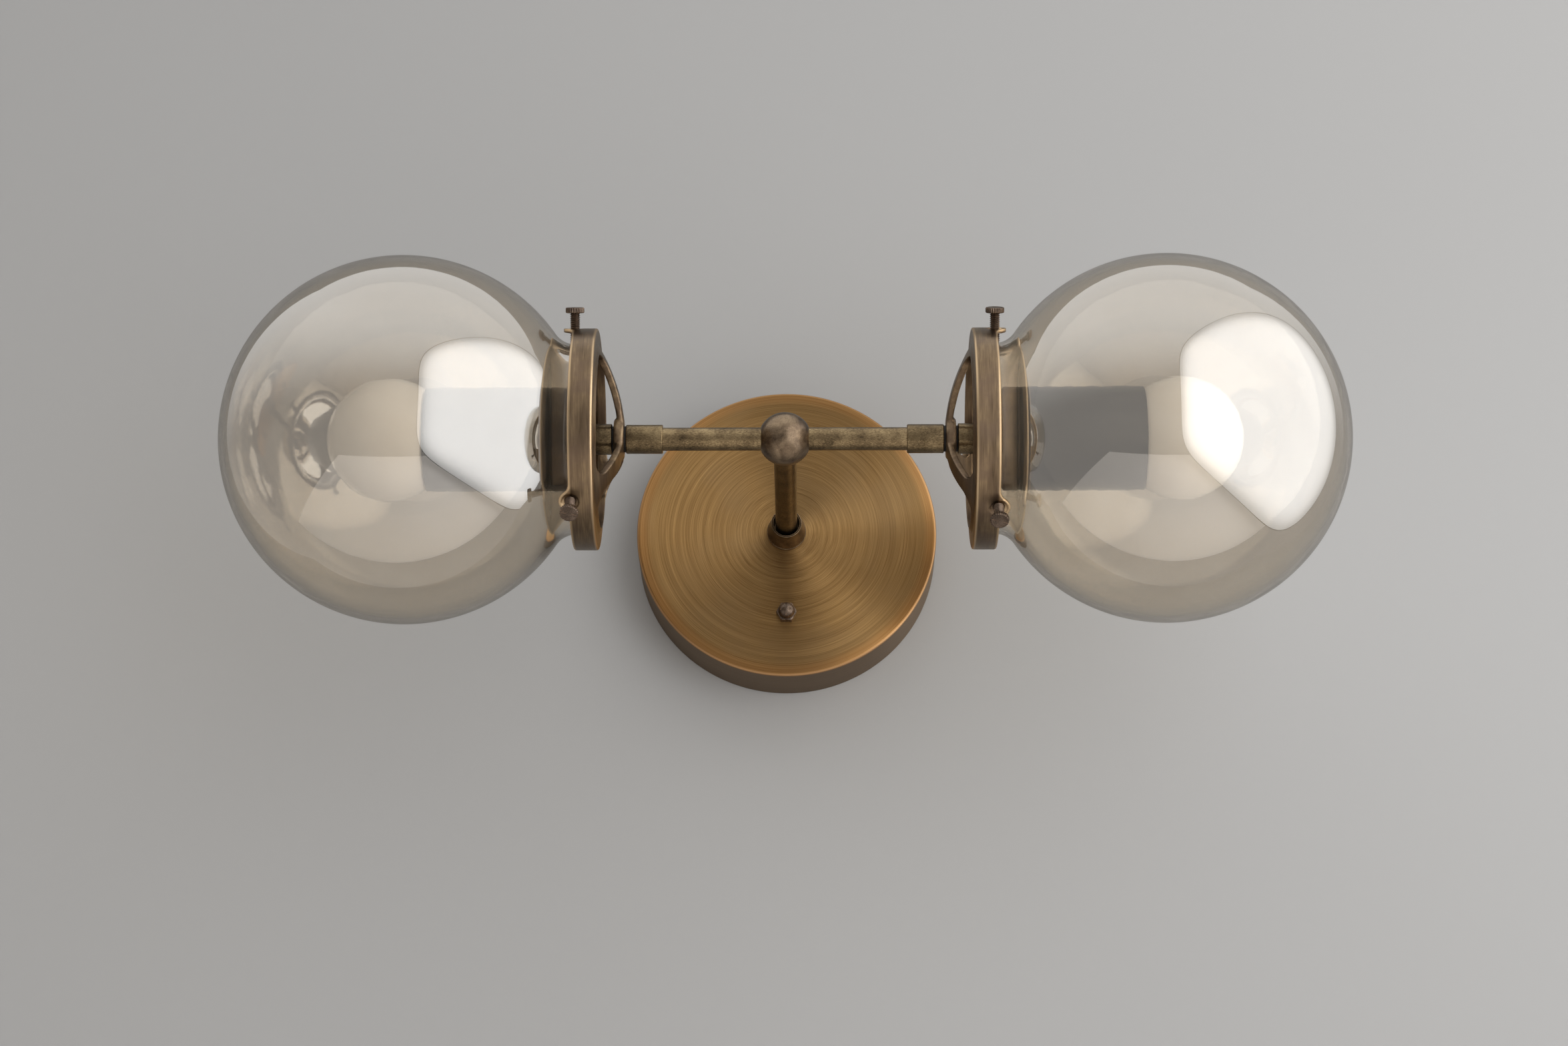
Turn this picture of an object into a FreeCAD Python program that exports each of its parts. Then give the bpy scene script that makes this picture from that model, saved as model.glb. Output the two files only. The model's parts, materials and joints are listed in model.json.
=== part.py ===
"""Double arm wall sconce: a round wall canopy, a stem, a ball body and two arms with globe shades.

Millimetres, +Z up. The wall is the plane y = 0 and the sconce stands out from it towards -Y.
The origin is the centre of the crossbar's back face, which is also the centre of the canopy.
"""
import FreeCAD
import Part
import math
import os

Vector = FreeCAD.Vector

# ---- canopy and what fastens it to the wall ---------------------------------------------------
CANOPY_DIAMETER = 133.35
CANOPY_DEPTH = 27.4
CANOPY_WALL = 1.2
CANOPY_EDGE_RADIUS = 1.6
CANOPY_SCREW_SPACING = 76.2
CANOPY_SCREW_CLEARANCE = 0.32

BAR_THICKNESS = 2.2
BOX_BAR_WIDTH = 17.0
BOX_BAR_END = 6.15
BOX_SLOT_SPACING = 79.4
BOX_SLOT_LENGTH = 14.3
BOX_SLOT_WIDTH = 4.8
STUD_BAR_WIDTH = 16.0
STUD_BAR_END = 8.9
EYELET_BORE = 7.6
EYELET_WALL = 1.0
EYELET_FLANGE_WIDTH = 1.7
EYELET_FLANGE_THICKNESS = 0.8

SCREW_DIAMETER = 4.16
SCREW_PITCH = 0.794
STUD_PROJECTION = 6.0
STUD_NUT_FLATS = 8.7
STUD_NUT_THICKNESS = 3.2

ACORN_FLATS = 7.94
ACORN_HEX_THICKNESS = 3.4
ACORN_DOME_DIAMETER = 7.1
ACORN_DOME_CENTRE = 4.6
ACORN_HOLE_DEPTH = 7.0

# ---- stem, collar and ball ----------------------------------------------------------------------
ARM_STANDOFF = 143.2
TUBE_DIAMETER = 9.525
BALL_DIAMETER = 22.2
BALL_FLAT_LAND = 0.36
COLLAR_HEIGHT = 12.0
COLLAR_GAP = 0.9
COLLAR_LIP_WIDTH = 1.1
COLLAR_FLARE = 1.85
COLLAR_WAIST_HEIGHT = 5.4
COLLAR_WAIST_FLARE = 0.7
COLLAR_FLOOR = 3.0
COLLAR_FOOT_HEIGHT = 1.2
COLLAR_GROOVE_DEPTH = 0.35
STEM_WASHER_WIDTH = 3.19
STEM_WASHER_THICKNESS = 0.7
STEM_WASHER_NOTCHES = 10
STEM_WASHER_NOTCH_DEPTH = 1.06
STEM_NUT_FLATS = 14.3
STEM_NUT_THICKNESS = 3.2
STEM_END_PROJECTION = 3.0
STEM_THREAD_MARGIN = 1.0
BUSHING_LENGTH = 7.0
BUSHING_FLANGE_THICKNESS = 1.2
BUSHING_WALL = 0.6

# ---- arms, couplings and shade holders ----------------------------------------------------------
ARM_REACH = 40.55
COUPLING_WALL = 1.19
COUPLING_LENGTH = 15.1
COUPLING_THREAD_DEPTH = 6.5
COUPLING_EDGE = 0.35
NIPPLE_BORE = 6.4
NIPPLE_GAP = 0.5
NIPPLE_PROJECTION = 1.0
HUB_WASHER_WIDTH = 0.59
HUB_WASHER_THICKNESS = 0.8
HUB_WALL = 3.69
HUB_THICKNESS = 4.2
INNER_COUPLING_WALL = 1.54
INNER_COUPLING_LENGTH = 18.1
HOLDER_RISE = 10.6
HOLDER_ROLL_LEFT = 24.5
HOLDER_ROLL_RIGHT = 29.0
SPIDER_CROWN = 0.4
SPOKE_COUNT = 3
SPOKE_THICKNESS = 2.8
SPOKE_WIDTH = 7.7
SPOKE_SEAT = 2.2
SPOKE_HUB_FILLET = 3.0
SPOKE_RING_FILLET = 6.0
RING_WALL = 3.0
RING_WIDTH = 10.0
RING_EDGE = 0.4
FLANGE_WIDTH = 6.2
FLANGE_THICKNESS = 2.5

# ---- ears and thumb screws ----------------------------------------------------------------------
EAR_THICKNESS = 1.7
EAR_LOBE_RADIUS = 4.7
EAR_FILLET_RADIUS = 5.0
EAR_SCREW_INSET = 0.7
SPOTFACE_DIAMETER = 7.2
SPOTFACE_DEPTH = 0.8
THUMB_HEAD_DIAMETER = 7.7
THUMB_HEAD_THICKNESS = 2.3
THUMB_HEAD_LIFT = 6.3
THUMB_RIDGES = 24
THUMB_RIDGE_DEPTH = 0.26
THUMB_HEAD_ROUNDING = 0.6
THUMB_TIP_CHAMFER = 0.5
THUMB_TIP_GAP = 0.4

# ---- glass globes ---------------------------------------------------------------------------------
GLOBE_DIAMETER = 152.4
GLOBE_WALL = 2.0
GLOBE_NECK_DIAMETER = 78.6
GLOBE_NECK_CURVE = 10.2
GLOBE_SEAT_GAP = 0.3
GLOBE_RING_GAP = 1.16

# ---- lampholders ----------------------------------------------------------------------------------
CUP_DIAMETER = 42.9
CUP_WALL = 0.8
CUP_BACK_RADIUS = 1.6
CUP_BULB_GAP = 0.35
CAP_LENGTH = 13.8
CAP_FLOOR = 5.0
CAP_WALL = 2.4
SOCKET_LENGTH = 36.0
SOCKET_FLOOR = 3.6
SOCKET_WALL = 3.3
SHELL_WALL = 0.35
SHELL_RIDGE_HEIGHT = 0.45
SHELL_LENGTH = 26.0
SHELL_BULB_GAP = 0.2
TERMINAL_OFFSET = 8.0
TERMINAL_WALL = 0.65
TERMINAL_LEAD_GAP = 0.2
TERMINAL_LENGTH = 3.0
CONTACT_WIDTH = 5.0
CONTACT_THICKNESS = 0.5
CONTACT_HEIGHT = 2.5
CONTACT_FOOT_REACH = 7.0
CONTACT_FOOT_BEND = 2.5
CONTACT_PAD_BEND = 0.5
CONTACT_PAD_REACH = 3.0
CONTACT_LEAN = 0.3
CONTACT_GAP = 0.3

# ---- bulbs ----------------------------------------------------------------------------------------
BULB_DIAMETER = 51.2
BULB_WALL = 0.7
BULB_NECK_CURVE = 4.3
BULB_NECK_DEPTH = 2.0
BASE_CREST_DIAMETER = 26.3
BASE_RIDGE_HEIGHT = 0.7
BASE_WALL = 0.3
BASE_PITCH = 3.629
BASE_LENGTH = 24.0
BASE_TURNS = 5
RIDGE_STEPS = 6
INSULATOR_LENGTH = 3.0
INSULATOR_PLUG = 1.0
INSULATOR_SHOULDER = 1.0
TIP_DIAMETER = 8.0
TIP_FACE_DIAMETER = 4.8
TIP_THICKNESS = 1.0
TIP_BEVEL = 0.6
LED_POST_DIAMETER = 7.0
LED_PLATE_TO_CENTRE = 6.0
LED_PLATE_DIAMETER = 21.0
LED_PLATE_THICKNESS = 1.6

# ---- leads, connectors and earth ------------------------------------------------------------------
LEAD_DIAMETER = 2.1
LEAD_GAP = 0.3
LEAD_BORE_GAP = 0.16
LEAD_BEND = 4.0
LEAD_CHAMBER_BEND = 2.4
LEAD_FAN_START = 1.5
LEAD_FAN_END = 2.5
LEAD_END_GAP = 0.5
LEAD_DROP = 2.7
LEAD_TURN_HEIGHT = 14.0
CONNECTOR_DIAMETER = 13.0
CONNECTOR_NOSE_DIAMETER = 8.0
CONNECTOR_LENGTH = 22.0
CONNECTOR_START = 14.0
CONNECTOR_POCKET_DEPTH = 12.0
CONNECTOR_POCKET_GAP = 0.2
CONNECTOR_END_GAP = 1.0
CONNECTOR_SKIRT_LENGTH = 3.0
CONNECTOR_STEP = 1.0
CONNECTOR_NOSE_BEVEL = 1.5
CONNECTOR_FLUTES = 8
CONNECTOR_FLUTE_DIAMETER = 2.4
EARTH_SCREW_OFFSET = 20.0
EARTH_SCREW_DIAMETER = 3.8
EARTH_HEAD_DIAMETER = 8.4
EARTH_HEAD_THICKNESS = 2.4
EARTH_HEX_DIAMETER = 6.3
EARTH_FLANGE_THICKNESS = 0.8
EARTH_WIRE_DIAMETER = 1.8
EARTH_WIRE_GRIP = 0.5
EARTH_WIRE_BEYOND = 7.0
EARTH_WIRE_BEND = 3.5
EARTH_TAG_WIDTH = 2.69
EARTH_TAG_THICKNESS = 0.8
EARTH_BARREL_WALL = 0.54
EARTH_BARREL_LENGTH = 5.0

# ---- fits -------------------------------------------------------------------------------------------
THREAD_CLEARANCE = 0.05
RUNNING_CLEARANCE = 0.05
TUBE_END_GAP = 0.09
THREAD_DEPTH_PER_PITCH = 0.55
NUT_CHAMFER_SHARE = 0.6
CUT_MARGIN = 1.0

# ---- directions ---------------------------------------------------------------------------------------
X_AXIS = Vector(1, 0, 0)
OUTWARD = Vector(0, -1, 0)
UP = Vector(0, 0, 1)
WALL_CENTRE = Vector(0, 0, 0)
ARM_CENTRE = OUTWARD * ARM_STANDOFF


def neck_reach(ball_diameter, neck_diameter, curve):
    """How far from a glass ball's centre its neck is narrowest, with a hollow curve between them."""
    return math.sqrt((ball_diameter / 2 + curve) ** 2 - (neck_diameter / 2 + curve) ** 2)


# ---- diameters worked out from what passes through ------------------------------------------------------
LEAD_SPACING = LEAD_DIAMETER + LEAD_GAP
BUSHING_BORE = LEAD_SPACING * math.sqrt(2) + LEAD_DIAMETER + 2 * LEAD_BORE_GAP
TUBE_BORE = BUSHING_BORE + 2 * BUSHING_WALL + 2 * RUNNING_CLEARANCE
TUBE_THREAD_BORE = TUBE_DIAMETER + 2 * THREAD_CLEARANCE
SCREW_THREAD_BORE = SCREW_DIAMETER + 2 * THREAD_CLEARANCE
CANOPY_SCREW_HOLE = SCREW_DIAMETER + 2 * CANOPY_SCREW_CLEARANCE
EYELET_DIAMETER = EYELET_BORE + 2 * EYELET_WALL
EYELET_FLANGE_DIAMETER = EYELET_DIAMETER + 2 * EYELET_FLANGE_WIDTH
EYELET_HOLE = EYELET_DIAMETER + 2 * RUNNING_CLEARANCE
COLLAR_BORE = TUBE_DIAMETER + 2 * COLLAR_GAP
COLLAR_LIP_DIAMETER = COLLAR_BORE + 2 * COLLAR_LIP_WIDTH
STEM_WASHER_DIAMETER = TUBE_THREAD_BORE + 2 * STEM_WASHER_WIDTH
EARTH_TAG_DIAMETER = TUBE_THREAD_BORE + 2 * EARTH_TAG_WIDTH
EARTH_BARREL_DIAMETER = EARTH_WIRE_DIAMETER + 2 * EARTH_BARREL_WALL
COUPLING_DIAMETER = TUBE_THREAD_BORE + 2 * COUPLING_WALL
INNER_COUPLING_DIAMETER = TUBE_THREAD_BORE + 2 * INNER_COUPLING_WALL
HUB_WASHER_DIAMETER = TUBE_THREAD_BORE + 2 * HUB_WASHER_WIDTH
HUB_DIAMETER = TUBE_THREAD_BORE + 2 * HUB_WALL
TERMINAL_BORE = LEAD_DIAMETER + 2 * TERMINAL_LEAD_GAP
TERMINAL_DIAMETER = TERMINAL_BORE + 2 * TERMINAL_WALL
BASE_ROOT_DIAMETER = BASE_CREST_DIAMETER - 2 * BASE_RIDGE_HEIGHT
BULB_NECK_DIAMETER = BASE_ROOT_DIAMETER - 2 * BASE_WALL - 2 * RUNNING_CLEARANCE
SHELL_BORE = BASE_CREST_DIAMETER + 2 * SHELL_BULB_GAP
SHELL_VALLEY_DIAMETER = SHELL_BORE + 2 * SHELL_WALL
SHELL_CREST_DIAMETER = SHELL_VALLEY_DIAMETER + 2 * SHELL_RIDGE_HEIGHT
SOCKET_BORE = SHELL_CREST_DIAMETER + 2 * RUNNING_CLEARANCE
SOCKET_DIAMETER = SOCKET_BORE + 2 * SOCKET_WALL

# ---- places out from the wall ---------------------------------------------------------------------------
CANOPY_FACE = CANOPY_DEPTH
CANOPY_INSIDE = CANOPY_DEPTH - CANOPY_WALL
COLLAR_TOP = CANOPY_FACE + COLLAR_HEIGHT
COLLAR_SEAT = CANOPY_FACE + COLLAR_FLOOR
STUD_BAR_TOP = 2 * BAR_THICKNESS
WASHER_SEAT = CANOPY_INSIDE - STEM_WASHER_THICKNESS
EARTH_TAG_SEAT = WASHER_SEAT - EARTH_TAG_THICKNESS
STEM_NUT_SEAT = EARTH_TAG_SEAT - STEM_NUT_THICKNESS
STEM_END = STEM_NUT_SEAT - STEM_END_PROJECTION
STEM_NUT_CORNER_RADIUS = STEM_NUT_FLATS / math.sqrt(3)
LEAD_LEVEL = STEM_END - BUSHING_FLANGE_THICKNESS - LEAD_DROP - LEAD_BEND

# ---- places out along an arm, from the ball's centre ------------------------------------------------
BALL_FLAT_RADIUS = TUBE_DIAMETER / 2 + BALL_FLAT_LAND
BALL_FLAT_TO_CENTRE = math.sqrt((BALL_DIAMETER / 2) ** 2 - BALL_FLAT_RADIUS ** 2)
BALL_THREAD_START = TUBE_DIAMETER / 2 + TUBE_END_GAP
COUPLING_START = BALL_FLAT_TO_CENTRE + ARM_REACH
ARM_TUBE_END = COUPLING_START + COUPLING_THREAD_DEPTH
COUPLING_END = COUPLING_START + COUPLING_LENGTH
HUB_FACE = COUPLING_END + HUB_WASHER_THICKNESS
HUB_BACK = HUB_FACE + HUB_THICKNESS
INNER_COUPLING_START = HUB_BACK + HUB_WASHER_THICKNESS
CUP_BACK = INNER_COUPLING_START + INNER_COUPLING_LENGTH
CAP_BACK = CUP_BACK + CUP_WALL
CAP_CHAMBER = CAP_BACK + CAP_FLOOR
NIPPLE_END = CAP_CHAMBER + NIPPLE_PROJECTION
SOCKET_BACK = CAP_BACK + CAP_LENGTH
SOCKET_SEAT = SOCKET_BACK + SOCKET_FLOOR
BULB_TIP = SOCKET_SEAT + CONTACT_HEIGHT + CONTACT_GAP
BASE_START = BULB_TIP + TIP_THICKNESS + INSULATOR_LENGTH
BASE_END = BASE_START + BASE_LENGTH
BULB_NECK_REACH = neck_reach(BULB_DIAMETER, BULB_NECK_DIAMETER, BULB_NECK_CURVE)
BULB_CENTRE = BASE_END + BULB_NECK_REACH
CUP_MOUTH_RADIUS = CUP_DIAMETER / 2 - CUP_WALL - CUP_BULB_GAP
CUP_RIM = BULB_CENTRE - math.sqrt((BULB_DIAMETER / 2) ** 2 - CUP_MOUTH_RADIUS ** 2)

RING_BACK = HUB_FACE + HOLDER_RISE
RING_MOUTH = RING_BACK + RING_WIDTH
FLANGE_FACE = RING_BACK + FLANGE_THICKNESS
THUMB_STATION = RING_MOUTH - EAR_SCREW_INSET
GLOBE_NECK_REACH = neck_reach(GLOBE_DIAMETER, GLOBE_NECK_DIAMETER, GLOBE_NECK_CURVE)
GLOBE_CENTRE = THUMB_STATION + GLOBE_NECK_REACH
GLOBE_LIP_LENGTH = THUMB_STATION - FLANGE_FACE - GLOBE_SEAT_GAP
GLOBE_LIP_FLARE = GLOBE_NECK_CURVE - math.sqrt(GLOBE_NECK_CURVE ** 2 - GLOBE_LIP_LENGTH ** 2)
RING_BORE = GLOBE_NECK_DIAMETER + 2 * GLOBE_LIP_FLARE + 2 * GLOBE_RING_GAP
RING_DIAMETER = RING_BORE + 2 * RING_WALL
FLANGE_BORE = RING_BORE - 2 * FLANGE_WIDTH


class Outline:
    """A closed outline of lines and arcs, drawn in (along, across) pairs."""

    def __init__(self, *points):
        self.start = points[0]
        self.end = points[0]
        self.runs = []
        self.line(*points[1:])

    def line(self, *points):
        for point in points:
            self.runs.append((self.end, None, point))
            self.end = point
        return self

    def arc(self, middle, end):
        self.runs.append((self.end, middle, end))
        self.end = end
        return self

    def face(self, place):
        """The filled outline, with place(along, across) giving each point in space."""
        if self.end != self.start:
            self.line(self.start)
        edges = []
        for start, middle, end in self.runs:
            if middle is None:
                edges.append(Part.LineSegment(place(*start), place(*end)).toShape())
            else:
                edges.append(Part.Arc(place(*start), place(*middle), place(*end)).toShape())
        return Part.Face(Part.Wire(edges))


class Axis:
    """A centre line that turned pieces and prisms are built on."""

    def __init__(self, origin, direction, radial):
        self.origin = origin
        self.direction = direction
        self.radial = radial
        self.aside = direction.cross(radial)

    def point(self, along, across=0.0, aside=0.0):
        return self.origin + self.direction * along + self.radial * across + self.aside * aside

    def cylinder(self, diameter, start, end):
        return Part.makeCylinder(diameter / 2, end - start, self.point(start), self.direction)

    def tube(self, outer, inner, start, end):
        return self.cylinder(outer, start, end).cut(self.cylinder(inner, start, end))

    def turned(self, outline):
        solid = outline.face(self.point).revolve(self.origin, self.direction, 360)
        return upright(solid)

    def prism(self, outline, start, end):
        """The outline, drawn in (across, aside) pairs, pushed along the axis."""
        face = outline.face(lambda across, aside: self.point(start, across, aside))
        return upright(face.extrude(self.direction * (end - start)))

    def block(self, start, end, across, aside):
        """A rectangular block between two (low, high) spans across and aside."""
        corners = [(across[0], aside[0]), (across[1], aside[0]),
                   (across[1], aside[1]), (across[0], aside[1])]
        return self.prism(Outline(*corners), start, end)


def upright(solid):
    """The same solid with its faces pointing outwards."""
    if solid.Volume < 0:
        solid.reverse()
    return solid


def fused(shapes):
    return shapes[0].fuse(shapes[1:]).removeSplitter()


def polygon(count, radius_at):
    """An outline of count corners, each at the radius that radius_at(index) gives."""
    corners = []
    for index in range(count):
        turn = 2 * math.pi * (index + 0.5) / count
        radius = radius_at(index)
        corners.append((radius * math.cos(turn), radius * math.sin(turn)))
    return Outline(*corners)


def hexagon(axis, flats, start, end):
    return axis.prism(polygon(6, lambda index: flats / math.sqrt(3)), start, end)


def hex_nut(axis, flats, bore, start, end):
    """A hexagon nut whose corners are chamfered on both faces."""
    corner = flats / math.sqrt(3)
    chamfer = (corner - flats / 2) * NUT_CHAMFER_SHARE
    barrel = Outline((start, 0), (start, flats / 2), (start + chamfer, corner), (end - chamfer, corner),
                     (end, flats / 2), (end, 0))
    nut = hexagon(axis, flats, start, end).common(axis.turned(barrel))
    return nut.cut(axis.cylinder(bore, start, end))


def threaded_rod(axis, crest_diameter, pitch, start, end):
    """A rod with ring ridges at the thread's pitch and depth."""
    crest = crest_diameter / 2
    root = crest - THREAD_DEPTH_PER_PITCH * pitch
    outline = Outline((start, 0), (start, root))
    for turn in range(int((end - start) / pitch)):
        ridge = start + turn * pitch
        outline.line((ridge + pitch / 2, crest), (ridge + pitch, root))
    return axis.turned(outline.line((end, root), (end, 0)))


def chamfered_sleeve(axis, outer, bore, start, end, edge):
    outline = Outline((start, bore / 2), (start, outer / 2 - edge), (start + edge, outer / 2),
                      (end - edge, outer / 2), (end, outer / 2 - edge), (end, bore / 2))
    return axis.turned(outline)


def lead(diameter, points, bends):
    """A round wire along straight runs joined by tangent arcs, one bend radius to each corner."""
    edges = []
    start = points[0]
    for before, corner, after, radius in zip(points, points[1:], points[2:], bends):
        towards = (before - corner).normalize()
        away = (after - corner).normalize()
        half_turn = towards.getAngle(away) / 2
        setback = radius / math.tan(half_turn)
        centre = corner + (towards + away).normalize() * (radius / math.sin(half_turn))
        arc_start = corner + towards * setback
        arc_end = corner + away * setback
        arc_middle = centre + (corner - centre).normalize() * radius
        edges.append(Part.LineSegment(start, arc_start).toShape())
        edges.append(Part.Arc(arc_start, arc_middle, arc_end).toShape())
        start = arc_end
    edges.append(Part.LineSegment(start, points[-1]).toShape())
    path = Part.Wire(edges)
    ring = Part.Wire(Part.makeCircle(diameter / 2, points[0], points[1] - points[0]))
    wire = path.makePipeShell([ring], True, True)
    length = path.Length
    print("lead", round(length, 1), "mm, volume ratio",
          round(wire.Volume / (length * math.pi * diameter ** 2 / 4), 4))
    return upright(wire)


# ---- wall side ------------------------------------------------------------------------------------

WALL_AXIS = Axis(WALL_CENTRE, OUTWARD, X_AXIS)


def stud_axis(sign):
    """The line of one canopy screw, above (+1) or below (-1) the centre."""
    return Axis(UP * (sign * CANOPY_SCREW_SPACING / 2), OUTWARD, X_AXIS)


def canopy():
    radius = CANOPY_DIAMETER / 2
    edge = CANOPY_EDGE_RADIUS
    inner_edge = edge - CANOPY_WALL
    turn = math.sin(math.radians(45))
    outline = Outline((0, radius - CANOPY_WALL), (0, radius), (CANOPY_FACE - edge, radius))
    outline.arc((CANOPY_FACE - edge + edge * turn, radius - edge + edge * turn), (CANOPY_FACE, radius - edge))
    outline.line((CANOPY_FACE, 0), (CANOPY_INSIDE, 0), (CANOPY_INSIDE, radius - edge))
    outline.arc((CANOPY_FACE - edge + inner_edge * turn, radius - edge + inner_edge * turn),
                (CANOPY_FACE - edge, radius - CANOPY_WALL))
    shell = WALL_AXIS.turned(outline)
    shell = shell.cut(WALL_AXIS.cylinder(TUBE_THREAD_BORE + 2 * THREAD_CLEARANCE, 0, CANOPY_DEPTH))
    for sign in (1, -1):
        shell = shell.cut(stud_axis(sign).cylinder(CANOPY_SCREW_HOLE, 0, CANOPY_DEPTH))
    return shell


def round_ended(middle, length, width):
    """The outline of a bar or slot with half-round ends, lying along the axis's across direction."""
    reach = (length - width) / 2
    half = width / 2
    outline = Outline((middle - reach, -half), (middle + reach, -half))
    outline.arc((middle + reach + half, 0), (middle + reach, half)).line((middle - reach, half))
    return outline.arc((middle - reach - half, 0), (middle - reach, -half))


def crossbar_box_bar():
    length = BOX_SLOT_SPACING + BOX_SLOT_LENGTH + 2 * BOX_BAR_END
    bar = WALL_AXIS.prism(round_ended(0, length, BOX_BAR_WIDTH), 0, BAR_THICKNESS)
    for sign in (1, -1):
        slot = round_ended(sign * BOX_SLOT_SPACING / 2, BOX_SLOT_LENGTH, BOX_SLOT_WIDTH)
        bar = bar.cut(WALL_AXIS.prism(slot, 0, BAR_THICKNESS))
    recess = WALL_AXIS.cylinder(EYELET_FLANGE_DIAMETER + 2 * RUNNING_CLEARANCE, 0, EYELET_FLANGE_THICKNESS)
    return bar.cut(recess).cut(WALL_AXIS.cylinder(EYELET_HOLE, 0, BAR_THICKNESS))


def crossbar_stud_bar():
    upright_axis = Axis(WALL_CENTRE, OUTWARD, UP)
    length = CANOPY_SCREW_SPACING + 2 * STUD_BAR_END
    bar = upright_axis.prism(round_ended(0, length, STUD_BAR_WIDTH), BAR_THICKNESS, STUD_BAR_TOP)
    bar = bar.cut(WALL_AXIS.cylinder(EYELET_HOLE, 0, STUD_BAR_TOP))
    for sign in (1, -1):
        bar = bar.cut(stud_axis(sign).cylinder(SCREW_THREAD_BORE, 0, STUD_BAR_TOP))
    return bar.cut(earth_screw_axis().cylinder(EARTH_SCREW_DIAMETER + 2 * THREAD_CLEARANCE, 0, STUD_BAR_TOP))


def crossbar_eyelet():
    front = STUD_BAR_TOP + RUNNING_CLEARANCE
    outline = Outline((0, EYELET_BORE / 2), (0, EYELET_FLANGE_DIAMETER / 2),
                      (EYELET_FLANGE_THICKNESS, EYELET_FLANGE_DIAMETER / 2),
                      (EYELET_FLANGE_THICKNESS, EYELET_DIAMETER / 2), (front, EYELET_DIAMETER / 2),
                      (front, EYELET_FLANGE_DIAMETER / 2),
                      (front + EYELET_FLANGE_THICKNESS, EYELET_FLANGE_DIAMETER / 2),
                      (front + EYELET_FLANGE_THICKNESS, EYELET_BORE / 2))
    return WALL_AXIS.turned(outline)


def canopy_studs():
    end = CANOPY_FACE + STUD_PROJECTION
    axes = [stud_axis(sign) for sign in (1, -1)]
    return [threaded_rod(axis, SCREW_DIAMETER, SCREW_PITCH, BAR_THICKNESS, end) for axis in axes]


def stud_lock_nuts():
    end = STUD_BAR_TOP + STUD_NUT_THICKNESS
    axes = [stud_axis(sign) for sign in (1, -1)]
    return [hex_nut(axis, STUD_NUT_FLATS, SCREW_THREAD_BORE, STUD_BAR_TOP, end) for axis in axes]


def acorn_nut(sign):
    axis = stud_axis(sign)
    hex_end = CANOPY_FACE + ACORN_HEX_THICKNESS
    hexagonal = hex_nut(axis, ACORN_FLATS, SCREW_THREAD_BORE, CANOPY_FACE, hex_end)
    dome_radius = ACORN_DOME_DIAMETER / 2
    centre = CANOPY_FACE + ACORN_DOME_CENTRE
    turn = math.sin(math.radians(45))
    outline = Outline((CANOPY_FACE, 0), (CANOPY_FACE, dome_radius), (centre, dome_radius))
    outline.arc((centre + dome_radius * turn, dome_radius * turn), (centre + dome_radius, 0))
    nut = fused([hexagonal, axis.turned(outline)])
    return nut.cut(axis.cylinder(SCREW_THREAD_BORE, CANOPY_FACE, CANOPY_FACE + ACORN_HOLE_DEPTH))


def earth_screw_axis():
    return Axis(UP * -EARTH_SCREW_OFFSET, OUTWARD, X_AXIS)


def earth_screw():
    """A flanged hexagon screw that holds the earth wire against the crossbar."""
    axis = earth_screw_axis()
    seat = STUD_BAR_TOP + EARTH_WIRE_DIAMETER + RUNNING_CLEARANCE
    tail = BAR_THICKNESS / 2
    shank = axis.cylinder(EARTH_SCREW_DIAMETER, tail, seat)
    flange = axis.cylinder(EARTH_HEAD_DIAMETER, seat, seat + EARTH_FLANGE_THICKNESS)
    head = hexagon(axis, EARTH_HEX_DIAMETER, seat, seat + EARTH_HEAD_THICKNESS)
    return fused([shank, flange, head])


# ---- stem and ball ----------------------------------------------------------------------------------

def stem_tube():
    """The tube from the ball to the inside of the canopy, threaded at the canopy end."""
    thread_end = COLLAR_SEAT + STEM_THREAD_MARGIN
    end = ARM_STANDOFF - BALL_THREAD_START
    thread = threaded_rod(WALL_AXIS, TUBE_DIAMETER, SCREW_PITCH, STEM_END, thread_end)
    plain = WALL_AXIS.cylinder(TUBE_DIAMETER, thread_end, end)
    return fused([thread, plain]).cut(WALL_AXIS.cylinder(TUBE_BORE, STEM_END, end))


def stem_collar():
    """A tapered collar with a double-ringed lip; its floor is tapped for the stem."""
    lip = COLLAR_LIP_DIAMETER / 2
    bore = COLLAR_BORE / 2
    base = lip + COLLAR_FLARE
    tapped = TUBE_THREAD_BORE / 2
    groove = (lip + bore) / 2
    ring = (lip - bore) / 4
    outline = Outline((CANOPY_FACE, tapped), (CANOPY_FACE, base), (CANOPY_FACE + COLLAR_FOOT_HEIGHT, base))
    outline.arc((CANOPY_FACE + COLLAR_WAIST_HEIGHT, lip + COLLAR_WAIST_FLARE), (COLLAR_TOP - ring, lip))
    outline.line((COLLAR_TOP, lip - ring / 2), (COLLAR_TOP, groove + ring / 2),
                 (COLLAR_TOP - COLLAR_GROOVE_DEPTH, groove), (COLLAR_TOP, groove - ring / 2),
                 (COLLAR_TOP - ring / 2, bore), (COLLAR_SEAT, bore), (COLLAR_SEAT, tapped))
    return WALL_AXIS.turned(outline)


def stem_lock_washer():
    washer = WALL_AXIS.tube(STEM_WASHER_DIAMETER, TUBE_THREAD_BORE, WASHER_SEAT, CANOPY_INSIDE)
    for index in range(STEM_WASHER_NOTCHES):
        turn = 2 * math.pi * index / STEM_WASHER_NOTCHES
        centre = WALL_AXIS.point(WASHER_SEAT, STEM_WASHER_DIAMETER / 2 * math.cos(turn),
                                 STEM_WASHER_DIAMETER / 2 * math.sin(turn))
        notch = Part.makeCylinder(STEM_WASHER_NOTCH_DEPTH, STEM_WASHER_THICKNESS, centre, OUTWARD)
        washer = washer.cut(notch)
    return washer


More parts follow.
